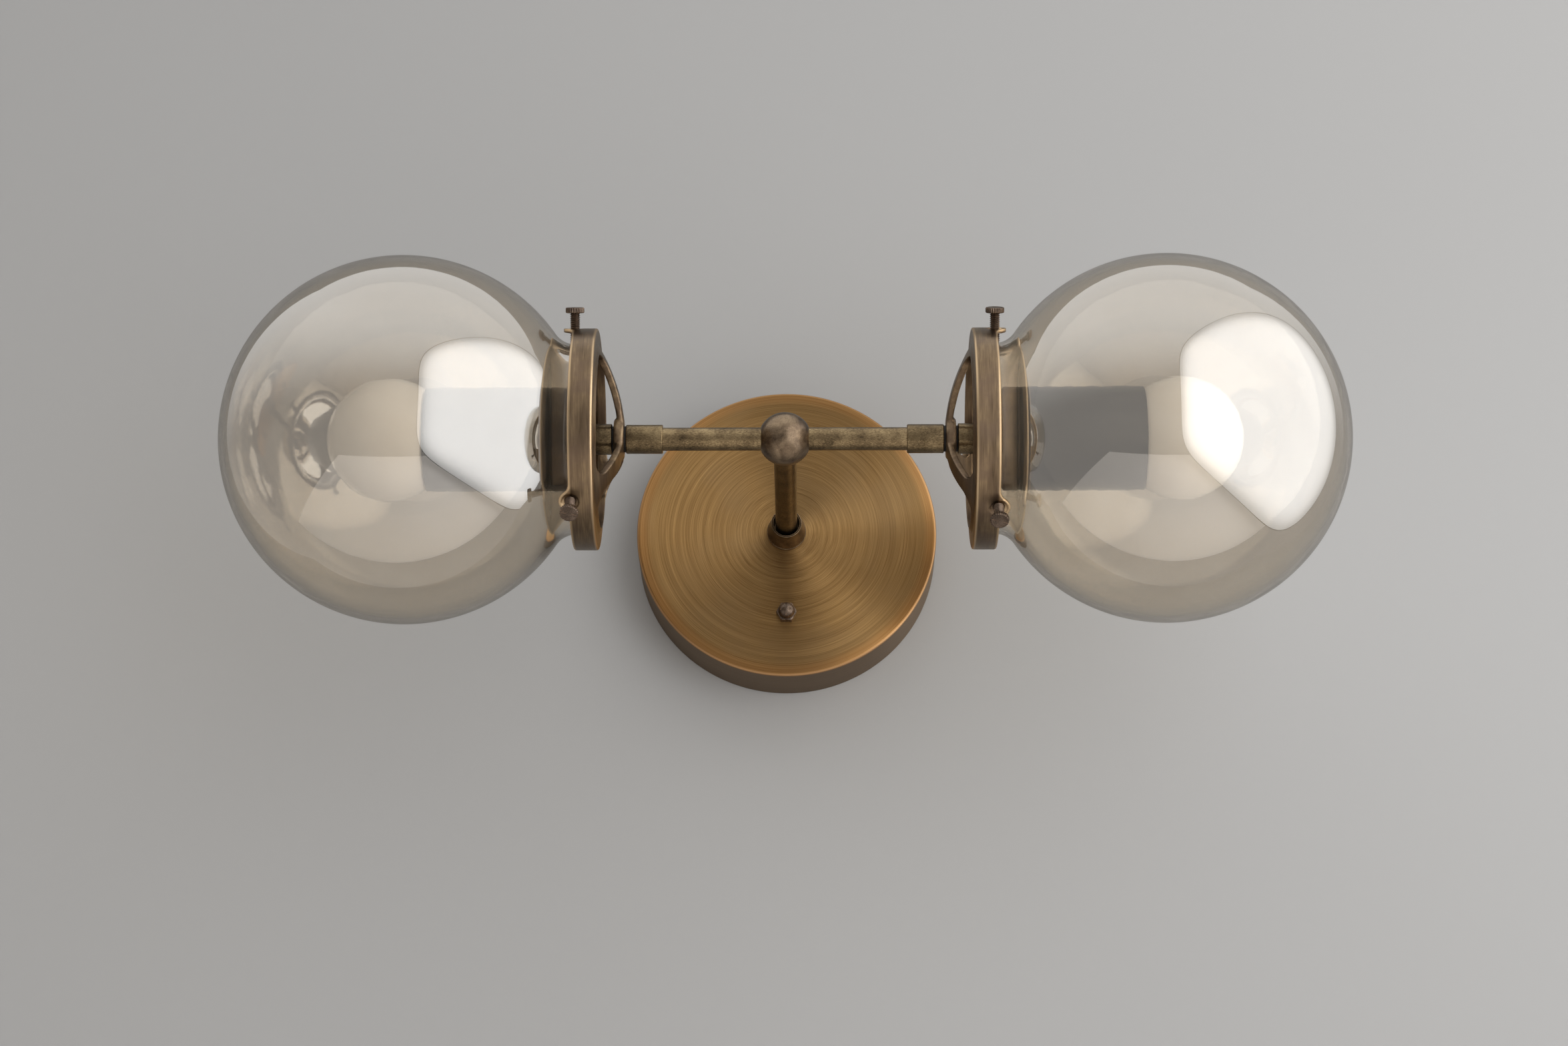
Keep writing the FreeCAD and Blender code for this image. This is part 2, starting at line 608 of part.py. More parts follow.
def stem_lock_nut():
    return hex_nut(WALL_AXIS, STEM_NUT_FLATS, TUBE_THREAD_BORE, STEM_NUT_SEAT, EARTH_TAG_SEAT)


def stem_bushing():
    """The plastic sleeve that keeps the leads off the stem's cut end."""
    sleeve = WALL_AXIS.tube(TUBE_BORE - 2 * RUNNING_CLEARANCE, BUSHING_BORE, STEM_END,
                            STEM_END + BUSHING_LENGTH)
    flange = WALL_AXIS.tube(TUBE_DIAMETER, BUSHING_BORE, STEM_END - BUSHING_FLANGE_THICKNESS, STEM_END)
    return fused([sleeve, flange])


def ball_body():
    """A solid brass ball with a tapped flat on each side and at the back."""
    flat = BALL_FLAT_TO_CENTRE
    axis = Axis(ARM_CENTRE, X_AXIS, UP)
    outline = Outline((-flat, 0), (-flat, BALL_FLAT_RADIUS))
    outline.arc((0, BALL_DIAMETER / 2), (flat, BALL_FLAT_RADIUS)).line((flat, 0))
    back = Axis(ARM_CENTRE, OUTWARD * -1, UP)
    ball = axis.turned(outline).cut(back.cylinder(BALL_DIAMETER, flat, BALL_DIAMETER))
    for direction in (X_AXIS, X_AXIS * -1, OUTWARD * -1):
        bore = Axis(ARM_CENTRE, direction, UP)
        ball = ball.cut(bore.cylinder(TUBE_BORE, 0, BALL_DIAMETER))
        ball = ball.cut(bore.cylinder(TUBE_THREAD_BORE, BALL_THREAD_START, BALL_DIAMETER))
    return ball


# ---- one arm ------------------------------------------------------------------------------------------

def arm_axis(side):
    """The arm's centre line from the ball outwards: side is +1 for the right, -1 for the left."""
    return Axis(ARM_CENTRE, X_AXIS * side, UP)


def arm_tube(axis):
    return axis.tube(TUBE_DIAMETER, TUBE_BORE, BALL_THREAD_START, ARM_TUBE_END)


def arm_coupling(axis):
    return chamfered_sleeve(axis, COUPLING_DIAMETER, TUBE_THREAD_BORE, COUPLING_START, COUPLING_END,
                            COUPLING_EDGE)


def inner_coupling(axis):
    return chamfered_sleeve(axis, INNER_COUPLING_DIAMETER, TUBE_THREAD_BORE, INNER_COUPLING_START, CUP_BACK,
                            COUPLING_EDGE)


def holder_nipple(axis):
    start = ARM_TUBE_END + NIPPLE_GAP
    rod = threaded_rod(axis, TUBE_DIAMETER, SCREW_PITCH, start, NIPPLE_END)
    return rod.cut(axis.cylinder(NIPPLE_BORE, start, NIPPLE_END))


def hub_washers(axis):
    spans = [(COUPLING_END, HUB_FACE), (HUB_BACK, INNER_COUPLING_START)]
    return [axis.tube(HUB_WASHER_DIAMETER, TUBE_THREAD_BORE, start, end) for start, end in spans]


def spoke_direction(axis, index):
    """The direction of one spoke and its thumb screw: the first points up and towards the viewer."""
    roll = HOLDER_ROLL_LEFT if axis.direction.x < 0 else HOLDER_ROLL_RIGHT
    turn = math.radians(roll + 360 * index / SPOKE_COUNT)
    return UP * math.cos(turn) + OUTWARD * math.sin(turn)


def spider(axis):
    """The spokes: a thin dome from the hub to the ring, with a window cut between each pair."""
    crown = HUB_FACE - SPIDER_CROWN
    rise = RING_BACK - crown
    rim = FLANGE_BORE / 2 + SPOKE_SEAT
    radius = (rise ** 2 + rim ** 2) / (2 * rise)
    centre = axis.point(crown + radius)
    dome = Part.makeSphere(radius, centre).cut(Part.makeSphere(radius - SPOKE_THICKNESS, centre))
    dome = dome.common(axis.cylinder(2 * rim, HUB_FACE, FLANGE_FACE))
    windows = axis.tube(FLANGE_BORE, HUB_DIAMETER, crown, FLANGE_FACE)
    for index in range(SPOKE_COUNT):
        direction = spoke_direction(axis, index)
        spoke = Axis(axis.origin, axis.direction, direction)
        windows = windows.cut(spoke.block(crown, FLANGE_FACE, (0, RING_DIAMETER),
                                          (-SPOKE_WIDTH / 2, SPOKE_WIDTH / 2)))
    for window in windows.Solids:
        dome = dome.cut(rounded_window(window, axis))
    return dome


def rounded_window(window, axis):
    """A window prism with its four upright corners rounded, more at the ring than at the hub."""
    near_hub = []
    near_ring = []
    middle_radius = (FLANGE_BORE + HUB_DIAMETER) / 4
    for edge in window.Edges:
        span = edge.Vertexes[-1].Point - edge.Vertexes[0].Point
        if abs(abs(span.normalize().dot(axis.direction)) - 1) > 1e-6:
            continue
        radius = (edge.Vertexes[0].Point - axis.origin).cross(axis.direction).Length
        if radius > middle_radius:
            near_ring.append(edge)
        else:
            near_hub.append(edge)
    window = window.makeFillet(SPOKE_RING_FILLET, near_ring)
    return window.makeFillet(SPOKE_HUB_FILLET, matching_edges(window, near_hub))


def matching_edges(solid, wanted):
    """The solid's edges whose middles lie where the wanted edges' middles lie."""
    places = [edge.CenterOfMass for edge in wanted]
    return [edge for edge in solid.Edges if any(edge.CenterOfMass.isEqual(place, 1e-4) for place in places)]


def ear(axis, direction):
    """A lobe that carries a thumb screw past the ring's mouth, faired into the ring's edge."""
    lobe = EAR_LOBE_RADIUS
    fillet = EAR_FILLET_RADIUS
    rise = fillet + EAR_SCREW_INSET
    half_base = math.sqrt((lobe + fillet) ** 2 - rise ** 2)
    share = lobe / (lobe + fillet)
    touch = (half_base * share, THUMB_STATION + rise * share)
    fillet_centre = (half_base, RING_MOUTH + fillet)
    toward_touch = math.atan2(touch[1] - fillet_centre[1], touch[0] - fillet_centre[0])
    halfway = (toward_touch - math.pi / 2) / 2
    fillet_middle = (fillet_centre[0] + fillet * math.cos(halfway),
                     fillet_centre[1] + fillet * math.sin(halfway))
    root = RING_MOUTH - EAR_THICKNESS
    outline = Outline((-half_base, root), (half_base, root), (half_base, RING_MOUTH))
    outline.arc(fillet_middle, touch)
    outline.arc((0, THUMB_STATION + lobe), (-touch[0], touch[1]))
    outline.arc((-fillet_middle[0], fillet_middle[1]), (-half_base, RING_MOUTH))
    aside = axis.direction.cross(direction)
    start = direction * (RING_BORE / 4)
    face = outline.face(lambda across, along: axis.point(along) + aside * across + start)
    plate = upright(face.extrude(direction * (RING_DIAMETER / 2)))
    shell = axis.tube(RING_DIAMETER, RING_DIAMETER - 2 * EAR_THICKNESS, root, RING_MOUTH + 2 * lobe)
    return plate.common(shell)


def thumb_axis(axis, direction):
    """The line of one thumb screw, measured outwards from the arm's centre line."""
    return Axis(axis.point(THUMB_STATION), direction, axis.direction)


def shade_holder(axis):
    outer = RING_DIAMETER / 2
    edge = RING_EDGE
    band = Outline((RING_BACK, FLANGE_BORE / 2), (RING_BACK, outer - edge), (RING_BACK + edge, outer),
                   (RING_MOUTH - edge, outer), (RING_MOUTH, outer - edge), (RING_MOUTH, RING_BORE / 2),
                   (FLANGE_FACE, RING_BORE / 2), (FLANGE_FACE, FLANGE_BORE / 2))
    pieces = [axis.turned(band), spider(axis), axis.cylinder(HUB_DIAMETER, HUB_FACE, HUB_BACK)]
    directions = [spoke_direction(axis, index) for index in range(SPOKE_COUNT)]
    pieces += [ear(axis, direction) for direction in directions]
    holder = fused(pieces)
    holder = holder.cut(axis.cylinder(TUBE_THREAD_BORE, HUB_FACE, HUB_BACK))
    for direction in directions:
        screw = thumb_axis(axis, direction)
        holder = holder.cut(screw.cylinder(SCREW_THREAD_BORE, RING_BORE / 2 - CUT_MARGIN, outer + CUT_MARGIN))
        holder = holder.cut(screw.cylinder(SPOTFACE_DIAMETER, outer - SPOTFACE_DEPTH, outer + CUT_MARGIN))
    return holder


def thumb_screw(axis, direction):
    """A knurled screw whose tip stops just short of the globe's neck."""
    screw = thumb_axis(axis, direction)
    tip = GLOBE_NECK_DIAMETER / 2 + THUMB_TIP_GAP
    head_seat = RING_DIAMETER / 2 + THUMB_HEAD_LIFT
    head_top = head_seat + THUMB_HEAD_THICKNESS
    radius = SCREW_DIAMETER / 2
    point = Outline((tip, 0), (tip, radius - THUMB_TIP_CHAMFER), (tip + THUMB_TIP_CHAMFER, radius),
                    (head_seat, radius), (head_seat, 0))
    shank = threaded_rod(screw, SCREW_DIAMETER, SCREW_PITCH, tip, head_seat).common(screw.turned(point))
    crest = THUMB_HEAD_DIAMETER / 2
    ridges = polygon(2 * THUMB_RIDGES, lambda index: crest - THUMB_RIDGE_DEPTH * (index % 2))
    rounding = THUMB_HEAD_ROUNDING
    drum = Outline((head_seat, 0), (head_seat, crest - rounding), (head_seat + rounding, crest),
                   (head_top - rounding, crest), (head_top, crest - rounding), (head_top, 0))
    head = screw.prism(ridges, head_seat, head_top).common(screw.turned(drum))
    return fused([shank, head])


def globe(axis):
    """A blown sphere whose neck curves in to a waist and flares out again to a ground lip."""
    sphere = GLOBE_DIAMETER / 2
    waist = GLOBE_NECK_DIAMETER / 2
    reach = GLOBE_NECK_REACH
    curve = GLOBE_NECK_CURVE
    curve_radius = waist + curve
    lip = GLOBE_LIP_LENGTH

    def skin(offset):
        """Join, waist and lip points of the glass at a depth of offset below its outer face."""
        ball = sphere - offset
        bend = curve + offset
        share = ball / (ball + bend)
        join = (reach * share, curve_radius * share)
        bend_middle_turn = (math.atan2(reach, curve_radius)) / 2
        middle = (reach - bend * math.sin(bend_middle_turn), curve_radius - bend * math.cos(bend_middle_turn))
        end = (reach + lip, curve_radius - math.sqrt(bend ** 2 - lip ** 2))
        return ball, join, middle, (reach, curve_radius - bend), end

    def place(distance, radius):
        """A point at a distance from the globe's centre towards the ball."""
        return axis.point(GLOBE_CENTRE - distance, radius)

    outer_ball, outer_join, outer_middle, outer_waist, outer_end = skin(0.0)
    inner_ball, inner_join, inner_middle, inner_waist, inner_end = skin(GLOBE_WALL)
    outline = Outline((-outer_ball, 0))
    outline.arc((0, outer_ball), outer_join).arc(outer_middle, outer_waist)
    outline.arc(arc_halfway(outer_waist, outer_end, curve, curve_radius), outer_end).line(inner_end)
    outline.arc(arc_halfway(inner_waist, inner_end, curve + GLOBE_WALL, curve_radius), inner_waist)
    outline.arc(inner_middle, inner_join).arc((0, inner_ball), (-inner_ball, 0))
    glass = outline.face(place).revolve(axis.origin, axis.direction, 360)
    return upright(glass)


def arc_halfway(waist, end, bend, centre_radius):
    """The point halfway along the lip's flare, on the circle that the neck follows."""
    along = (waist[0] + end[0]) / 2
    return along, centre_radius - math.sqrt(bend ** 2 - (along - waist[0]) ** 2)


# ---- lampholder and bulb --------------------------------------------------------------------------------

def socket_cup(axis):
    outer = CUP_DIAMETER / 2
    inner = outer - CUP_WALL
    corner = CUP_BACK_RADIUS
    turn = 1 - math.sin(math.radians(45))
    hole = TUBE_THREAD_BORE / 2 + THREAD_CLEARANCE
    outline = Outline((CUP_BACK, hole), (CUP_BACK, outer - corner))
    outline.arc((CUP_BACK + corner * turn, outer - corner * turn), (CUP_BACK + corner, outer))
    outline.line((CUP_RIM, outer), (CUP_RIM, inner), (CUP_BACK + corner, inner))
    inner_corner = corner - CUP_WALL
    outline.arc((CUP_BACK + corner - inner_corner * (1 - turn), outer - corner + inner_corner * (1 - turn)),
                (CAP_BACK, outer - corner))
    outline.line((CAP_BACK, hole))
    return axis.turned(outline)


def socket_cap(axis):
    """The lampholder's back half: it screws on the nipple and clamps the cup."""
    outer = SOCKET_DIAMETER / 2
    inner = outer - CAP_WALL
    tapped = TUBE_THREAD_BORE / 2
    outline = Outline((CAP_BACK, tapped), (CAP_BACK, outer), (SOCKET_BACK, outer), (SOCKET_BACK, inner),
                      (CAP_CHAMBER, inner), (CAP_CHAMBER, tapped))
    return axis.turned(outline)


def terminal_axes(axis):
    """The two wire holes of a lampholder, above and below its centre."""
    return [Axis(axis.point(0, sign * TERMINAL_OFFSET), axis.direction, axis.radial) for sign in (1, -1)]


def socket_body(axis):
    """The lampholder's front half, with the well for the screw shell."""
    end = SOCKET_BACK + SOCKET_LENGTH
    outline = Outline((SOCKET_BACK, 0), (SOCKET_BACK, SOCKET_DIAMETER / 2), (end, SOCKET_DIAMETER / 2),
                      (end, SOCKET_BORE / 2), (SOCKET_SEAT, SOCKET_BORE / 2), (SOCKET_SEAT, 0))
    body = axis.turned(outline)
    for terminal in terminal_axes(axis):
        body = body.cut(terminal.cylinder(TERMINAL_DIAMETER, SOCKET_BACK, SOCKET_BACK + TERMINAL_LENGTH))
    return body


def socket_terminals(axis):
    """Push-in sleeves that grip the bared lead ends."""
    end = SOCKET_BACK + TERMINAL_LENGTH
    terminals = terminal_axes(axis)
    return [terminal.tube(TERMINAL_DIAMETER, TERMINAL_BORE, SOCKET_BACK, end) for terminal in terminals]


def waved_sleeve(axis, low_radius, high_radius, wall, start, turns):
    """A thin sleeve rolled into rounded ridges at the lamp thread's pitch."""
    outer = []
    for step in range(turns * RIDGE_STEPS + 1):
        swell = (1 - math.cos(2 * math.pi * step / RIDGE_STEPS)) / 2
        along = start + BASE_PITCH * step / RIDGE_STEPS
        outer.append((along, low_radius + (high_radius - low_radius) * swell))
    inner = [(along, radius - wall) for along, radius in reversed(outer)]
    return axis.turned(Outline(*outer).line(*inner))


def socket_screw_shell(axis):
    """The threaded shell that takes the bulb's base, with a collar that fills out its length."""
    turns = int(SHELL_LENGTH / BASE_PITCH)
    start = SOCKET_SEAT + (SHELL_LENGTH - turns * BASE_PITCH)
    ridged = waved_sleeve(axis, SHELL_VALLEY_DIAMETER / 2, SHELL_CREST_DIAMETER / 2, SHELL_WALL, start, turns)
    plain = axis.tube(SHELL_VALLEY_DIAMETER, SHELL_BORE, SOCKET_SEAT, start)
    return fused([plain, ridged])


def socket_centre_contact(axis):
    """A bent brass tongue under the bulb's tip."""
    foot = SOCKET_SEAT
    thick = CONTACT_THICKNESS
    pad = SOCKET_SEAT + CONTACT_HEIGHT
    tongue = Outline((foot, -CONTACT_FOOT_REACH), (foot, -CONTACT_FOOT_BEND))
    tongue.line((pad - thick, -CONTACT_PAD_BEND), (pad - thick, CONTACT_PAD_REACH), (pad, CONTACT_PAD_REACH))
    tongue.line((pad, -CONTACT_PAD_BEND - CONTACT_LEAN), (foot + thick, -CONTACT_FOOT_BEND - CONTACT_LEAN))
    tongue.line((foot + thick, -CONTACT_FOOT_REACH))
    face = tongue.face(lambda along, across: axis.point(along, across, -CONTACT_WIDTH / 2))
    return [upright(face.extrude(axis.aside * CONTACT_WIDTH))]


def bulb_glass(axis):
    """An opal globe whose neck narrows into the screw base."""
    ball = BULB_DIAMETER / 2
    neck = BULB_NECK_DIAMETER / 2
    reach = BULB_NECK_REACH
    curve = BULB_NECK_CURVE
    end = reach + BULB_NECK_DEPTH

    def skin(offset):
        share = (ball - offset) / (ball + curve)
        join = (reach * share, (neck + curve) * share)
        bend = curve + offset
        turn = math.atan2(reach, neck + curve) / 2
        middle = (reach - bend * math.sin(turn), neck + curve - bend * math.cos(turn))
        return join, middle, (reach, neck - offset), (end, neck - offset)

    def place(distance, radius):
        return axis.point(BULB_CENTRE - distance, radius)

    outer_join, outer_middle, outer_neck, outer_end = skin(0.0)
    inner_join, inner_middle, inner_neck, inner_end = skin(BULB_WALL)
    hollow = ball - BULB_WALL
    outline = Outline((-ball, 0)).arc((0, ball), outer_join).arc(outer_middle, outer_neck)
    outline.line(outer_end, inner_end, inner_neck).arc(inner_middle, inner_join)
    outline.arc((0, hollow), (-hollow, 0))
    return upright(outline.face(place).revolve(axis.origin, axis.direction, 360))


def bulb_base(axis):
    """The bulb's screw shell: rolled ridges, then a plain collar round the glass neck."""
    root = BASE_ROOT_DIAMETER / 2
    crest = BASE_CREST_DIAMETER / 2
    ridged = waved_sleeve(axis, root, crest, BASE_WALL, BASE_START, BASE_TURNS)
    ridge_end = BASE_START + BASE_TURNS * BASE_PITCH
    collar = axis.tube(2 * root, 2 * (root - BASE_WALL), ridge_end, BASE_END)
    return fused([ridged, collar])


def bulb_insulator(axis):
    """The glass cone that keeps the tip apart from the shell."""
    shell = BASE_ROOT_DIAMETER / 2 - BASE_WALL
    start = BULB_TIP + TIP_THICKNESS
    outline = Outline((start, 0), (start, TIP_DIAMETER / 2 + INSULATOR_SHOULDER), (BASE_START, shell),
                      (BASE_START + INSULATOR_PLUG, shell), (BASE_START + INSULATOR_PLUG, 0))
    return axis.turned(outline)


def bulb_tip(axis):
    radius = TIP_DIAMETER / 2
    end = BULB_TIP + TIP_THICKNESS
    outline = Outline((BULB_TIP, 0), (BULB_TIP, TIP_FACE_DIAMETER / 2), (BULB_TIP + TIP_BEVEL, radius),
                      (end, radius), (end, 0))
    return axis.turned(outline)


def bulb_light_engine(axis):
    """The post and emitter plate inside the opal globe, standing on the base's insulator."""
    plate_end = BULB_CENTRE - LED_PLATE_TO_CENTRE
    post = axis.cylinder(LED_POST_DIAMETER, BASE_START + INSULATOR_PLUG, plate_end)
    plate = axis.cylinder(LED_PLATE_DIAMETER, plate_end - LED_PLATE_THICKNESS, plate_end)
    return fused([post, plate])


# ---- leads --------------------------------------------------------------------------------------------

def supply_lead(side, polarity):
    """One lead from a lampholder's terminal, through arm, ball and stem, to its connector.

    polarity is +1 for the live lead, which runs above the neutral one, and -1 for the neutral.
    """
    half = LEAD_SPACING / 2
    height = polarity * half
    terminal = polarity * TERMINAL_OFFSET
    chamber = NIPPLE_END + LEAD_FAN_START
    spread = SOCKET_BACK - LEAD_FAN_END
    turn = polarity * (LEAD_TURN_HEIGHT + half * (1 - polarity * side))
    pocket_end = polarity * (CONNECTOR_START + CONNECTOR_POCKET_DEPTH - CONNECTOR_END_GAP)
    points = [
        Vector(side * (SOCKET_BACK + TERMINAL_LENGTH - LEAD_END_GAP), -ARM_STANDOFF, terminal),
        Vector(side * spread, -ARM_STANDOFF, terminal),
        Vector(side * chamber, -ARM_STANDOFF, height),
        Vector(side * half, -ARM_STANDOFF, height),
        Vector(side * half, -LEAD_LEVEL, height),
        Vector(side * half, -LEAD_LEVEL, turn),
        Vector(pocket_end, -LEAD_LEVEL, turn),
    ]
    bends = [LEAD_CHAMBER_BEND, LEAD_CHAMBER_BEND, LEAD_BEND, LEAD_BEND, LEAD_BEND]
    return lead(LEAD_DIAMETER, points, bends)


def wire_connector(polarity):
    """A fluted twist-on connector over a pair of lead ends."""
    height = polarity * (LEAD_TURN_HEIGHT + LEAD_SPACING / 2)
    origin = Vector(0, -LEAD_LEVEL, height)
    axis = Axis(origin, X_AXIS * polarity, UP)
    start = CONNECTOR_START
    end = start + CONNECTOR_LENGTH
    skirt = start + CONNECTOR_SKIRT_LENGTH
    mouth = CONNECTOR_DIAMETER / 2
    nose = CONNECTOR_NOSE_DIAMETER / 2
    outline = Outline((start, 0), (start, mouth), (skirt, mouth),
                      (skirt + CONNECTOR_STEP, mouth - CONNECTOR_STEP),
                      (end - CONNECTOR_NOSE_BEVEL, nose), (end, nose - CONNECTOR_NOSE_BEVEL), (end, 0))
    body = axis.turned(outline)
    for index in range(CONNECTOR_FLUTES):
        turn = 2 * math.pi * index / CONNECTOR_FLUTES
        groove = Axis(axis.point(0, mouth * math.cos(turn), mouth * math.sin(turn)), axis.direction, UP)
        body = body.cut(groove.cylinder(CONNECTOR_FLUTE_DIAMETER, skirt + 2 * CONNECTOR_STEP, end))
    pocket = LEAD_SPACING + LEAD_DIAMETER + 2 * CONNECTOR_POCKET_GAP
    return body.cut(axis.cylinder(pocket, start, start + CONNECTOR_POCKET_DEPTH))


def earth_lead():
    """A ring tag under the stem's nut, crimped to a wire that ends under the earth screw."""
    tag = WALL_AXIS.cylinder(EARTH_TAG_DIAMETER, EARTH_TAG_SEAT, WASHER_SEAT)
    barrel_top = -STEM_NUT_CORNER_RADIUS - RUNNING_CLEARANCE
    barrel_end = barrel_top - EARTH_BARREL_LENGTH
    tongue = WALL_AXIS.block(EARTH_TAG_SEAT, WASHER_SEAT, (-EARTH_WIRE_DIAMETER, EARTH_WIRE_DIAMETER),
                             (barrel_end, 0))
    tag = tag.fuse(tongue).cut(WALL_AXIS.cylinder(TUBE_THREAD_BORE, EARTH_TAG_SEAT, WASHER_SEAT))
    barrel_radius = EARTH_BARREL_DIAMETER / 2
    level = WASHER_SEAT - barrel_radius
    barrel = Part.makeCylinder(barrel_radius, EARTH_BARREL_LENGTH, Vector(0, -level, barrel_top), UP * -1)
    seat = -(STUD_BAR_TOP + EARTH_WIRE_DIAMETER / 2)
    beyond = -EARTH_SCREW_OFFSET - EARTH_WIRE_BEYOND
    hook = -EARTH_SCREW_OFFSET - EARTH_SCREW_DIAMETER / 2 - RUNNING_CLEARANCE
    points = [
        Vector(0, -level, barrel_end + EARTH_WIRE_GRIP),
        Vector(0, -level, beyond),
        Vector(0, seat, beyond),
        Vector(0, seat, hook),
    ]
    wire = lead(EARTH_WIRE_DIAMETER, points, [EARTH_WIRE_BEND, EARTH_WIRE_BEND])
    return fused([tag, barrel, wire])


# ---- the whole sconce -------------------------------------------------------------------------------

def centre_nodes():
    return {
        "crossbar_box_bar": [crossbar_box_bar()],
        "crossbar_stud_bar": [crossbar_stud_bar()],
        "crossbar_eyelet": [crossbar_eyelet()],
        "canopy_studs": canopy_studs(),
        "stud_lock_nuts": stud_lock_nuts(),
        "acorn_nut_top": [acorn_nut(1)],
        "acorn_nut_bottom": [acorn_nut(-1)],
        "canopy": [canopy()],
        "stem_collar": [stem_collar()],
        "stem_lock_washer": [stem_lock_washer()],
        "stem_lock_nut": [stem_lock_nut()],
        "stem_bushing": [stem_bushing()],
        "stem_tube": [stem_tube()],
        "ball_body": [ball_body()],
        "earth_screw": [earth_screw()],
        "earth_lead": [earth_lead()],
        "wire_connectors": [wire_connector(1), wire_connector(-1)],
        "hub_washers": both_sides(hub_washers),
        "socket_terminals": both_sides(socket_terminals),
        "socket_centre_contacts": both_sides(socket_centre_contact),
    }


def both_sides(maker):
    """The like small pieces of both arms, as one list of separate solids."""
    return [solid for side in (-1, 1) for solid in maker(arm_axis(side))]


def arm_nodes(name, side):
    axis = arm_axis(side)
    nodes = {
        "arm_tube": [arm_tube(axis)],
        "arm_coupling": [arm_coupling(axis)],
        "holder_nipple": [holder_nipple(axis)],
        "shade_holder": [shade_holder(axis)],
        "inner_coupling": [inner_coupling(axis)],
        "socket_cup": [socket_cup(axis)],
        "socket_cap": [socket_cap(axis)],
        "socket_body": [socket_body(axis)],
        "socket_screw_shell": [socket_screw_shell(axis)],
        "globe": [globe(axis)],
        "bulb_glass": [bulb_glass(axis)],
        "bulb_base": [bulb_base(axis)],
        "bulb_insulator": [bulb_insulator(axis)],
        "bulb_tip": [bulb_tip(axis)],
        "bulb_light_engine": [bulb_light_engine(axis)],
        "live_lead": [supply_lead(side, 1)],
        "neutral_lead": [supply_lead(side, -1)],
    }
    for index, place in enumerate(("top", "front", "rear")):
        nodes["thumb_screw_" + place] = [thumb_screw(axis, spoke_direction(axis, index))]
    return {name + "_" + node: solids for node, solids in nodes.items()}


def main():
    os.makedirs("parts", exist_ok=True)
    nodes = centre_nodes()
    nodes.update(arm_nodes("left", -1))
    nodes.update(arm_nodes("right", 1))
    for name, solids in nodes.items():
        solids = [solid for shape in solids for solid in shape.Solids]
        for solid in solids:
            if not solid.isValid() or solid.Volume <= 0:
                print("check", name)
        shape = solids[0] if len(solids) == 1 else Part.makeCompound(solids)
        shape.exportStep("parts/" + name + ".step")
    print(len(nodes), "nodes")


main()
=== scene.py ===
import json
import math

import bmesh
import bpy
from mathutils import Matrix, Vector


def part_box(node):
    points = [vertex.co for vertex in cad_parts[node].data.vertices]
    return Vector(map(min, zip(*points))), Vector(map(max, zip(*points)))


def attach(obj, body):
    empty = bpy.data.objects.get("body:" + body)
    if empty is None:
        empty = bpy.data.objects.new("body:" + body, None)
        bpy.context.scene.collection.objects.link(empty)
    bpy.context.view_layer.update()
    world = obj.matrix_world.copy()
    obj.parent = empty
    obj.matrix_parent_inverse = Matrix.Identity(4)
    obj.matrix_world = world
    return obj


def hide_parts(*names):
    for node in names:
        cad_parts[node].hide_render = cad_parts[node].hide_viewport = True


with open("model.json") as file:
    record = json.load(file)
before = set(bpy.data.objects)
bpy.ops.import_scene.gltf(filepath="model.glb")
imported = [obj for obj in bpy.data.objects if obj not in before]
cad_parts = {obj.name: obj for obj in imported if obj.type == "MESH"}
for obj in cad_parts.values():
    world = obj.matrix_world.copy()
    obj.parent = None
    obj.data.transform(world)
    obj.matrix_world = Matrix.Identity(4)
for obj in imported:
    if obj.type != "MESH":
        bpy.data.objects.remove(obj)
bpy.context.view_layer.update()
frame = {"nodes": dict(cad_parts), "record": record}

MM = 0.001
SIDES = ("left", "right")
THUMB_PLACES = ("top", "front", "rear")

# ---- fine sizes that the pieces add to the frame, in metres, with a few counts and shares --------
CANOPY_EDGE_RADIUS = 1.6 * MM
CANOPY_FOOT_BREAK = 0.15 * MM
CANOPY_WALL = 1.2 * MM
CANOPY_FALL = 0.22 * MM
CANOPY_FALL_WIDTH = 5.0 * MM
CANOPY_FALL_STEPS = 10
CANOPY_SEGMENTS = 288
STEM_HOLE_GAP = 0.1 * MM
TUBE_WALL = 1.2 * MM
TUBE_EDGE = 0.12 * MM
TUBE_SEGMENTS = 112
TUBE_STEPS = 12
COUPLING_EDGE = 0.4 * MM
COLLAR_FOOT = 1.2 * MM
COLLAR_EDGE = 0.25 * MM
COLLAR_GAP = 0.05 * MM
COLLAR_CURVE_STEPS = 14
COLLAR_LIP = 6.76 * MM
COLLAR_WAIST = 7.46 * MM
COLLAR_WAIST_HEIGHT = 5.4 * MM
COLLAR_BORE = 5.66 * MM
COLLAR_FLOOR = 3.0 * MM
BALL_FLAT = 9.85 * MM
GLOBE_WALL = 2.0 * MM
GLOBE_NECK_RADIUS = 39.3 * MM
GLOBE_NECK_CURVE = 10.2 * MM
BULB_NECK_RADIUS = 12.1 * MM
BULB_NECK_CURVE = 4.3 * MM
BULB_WALL = 0.7 * MM
CUP_WALL = 0.8 * MM
CUP_BACK_RADIUS = 1.6 * MM
CUP_LIP_RADIUS = 0.25 * MM
TUBE_HOLE_RADIUS = 4.9 * MM
THREAD_PITCH = 0.794 * MM
THREAD_DEPTH = 0.42 * MM
THREAD_CREST = 0.12
THREAD_ROWS = 10
THREAD_SEGMENTS = 40
SCREW_RADIUS = 2.08 * MM
SCREW_TIP_CHAMFER = 0.5 * MM
KNURL_RIDGES = 24
KNURL_DEPTH = 0.26 * MM
THUMB_HEAD_THICKNESS = 2.3 * MM
THUMB_HEAD_ROUNDING = 0.5 * MM
THUMB_EDGE_STEPS = 4
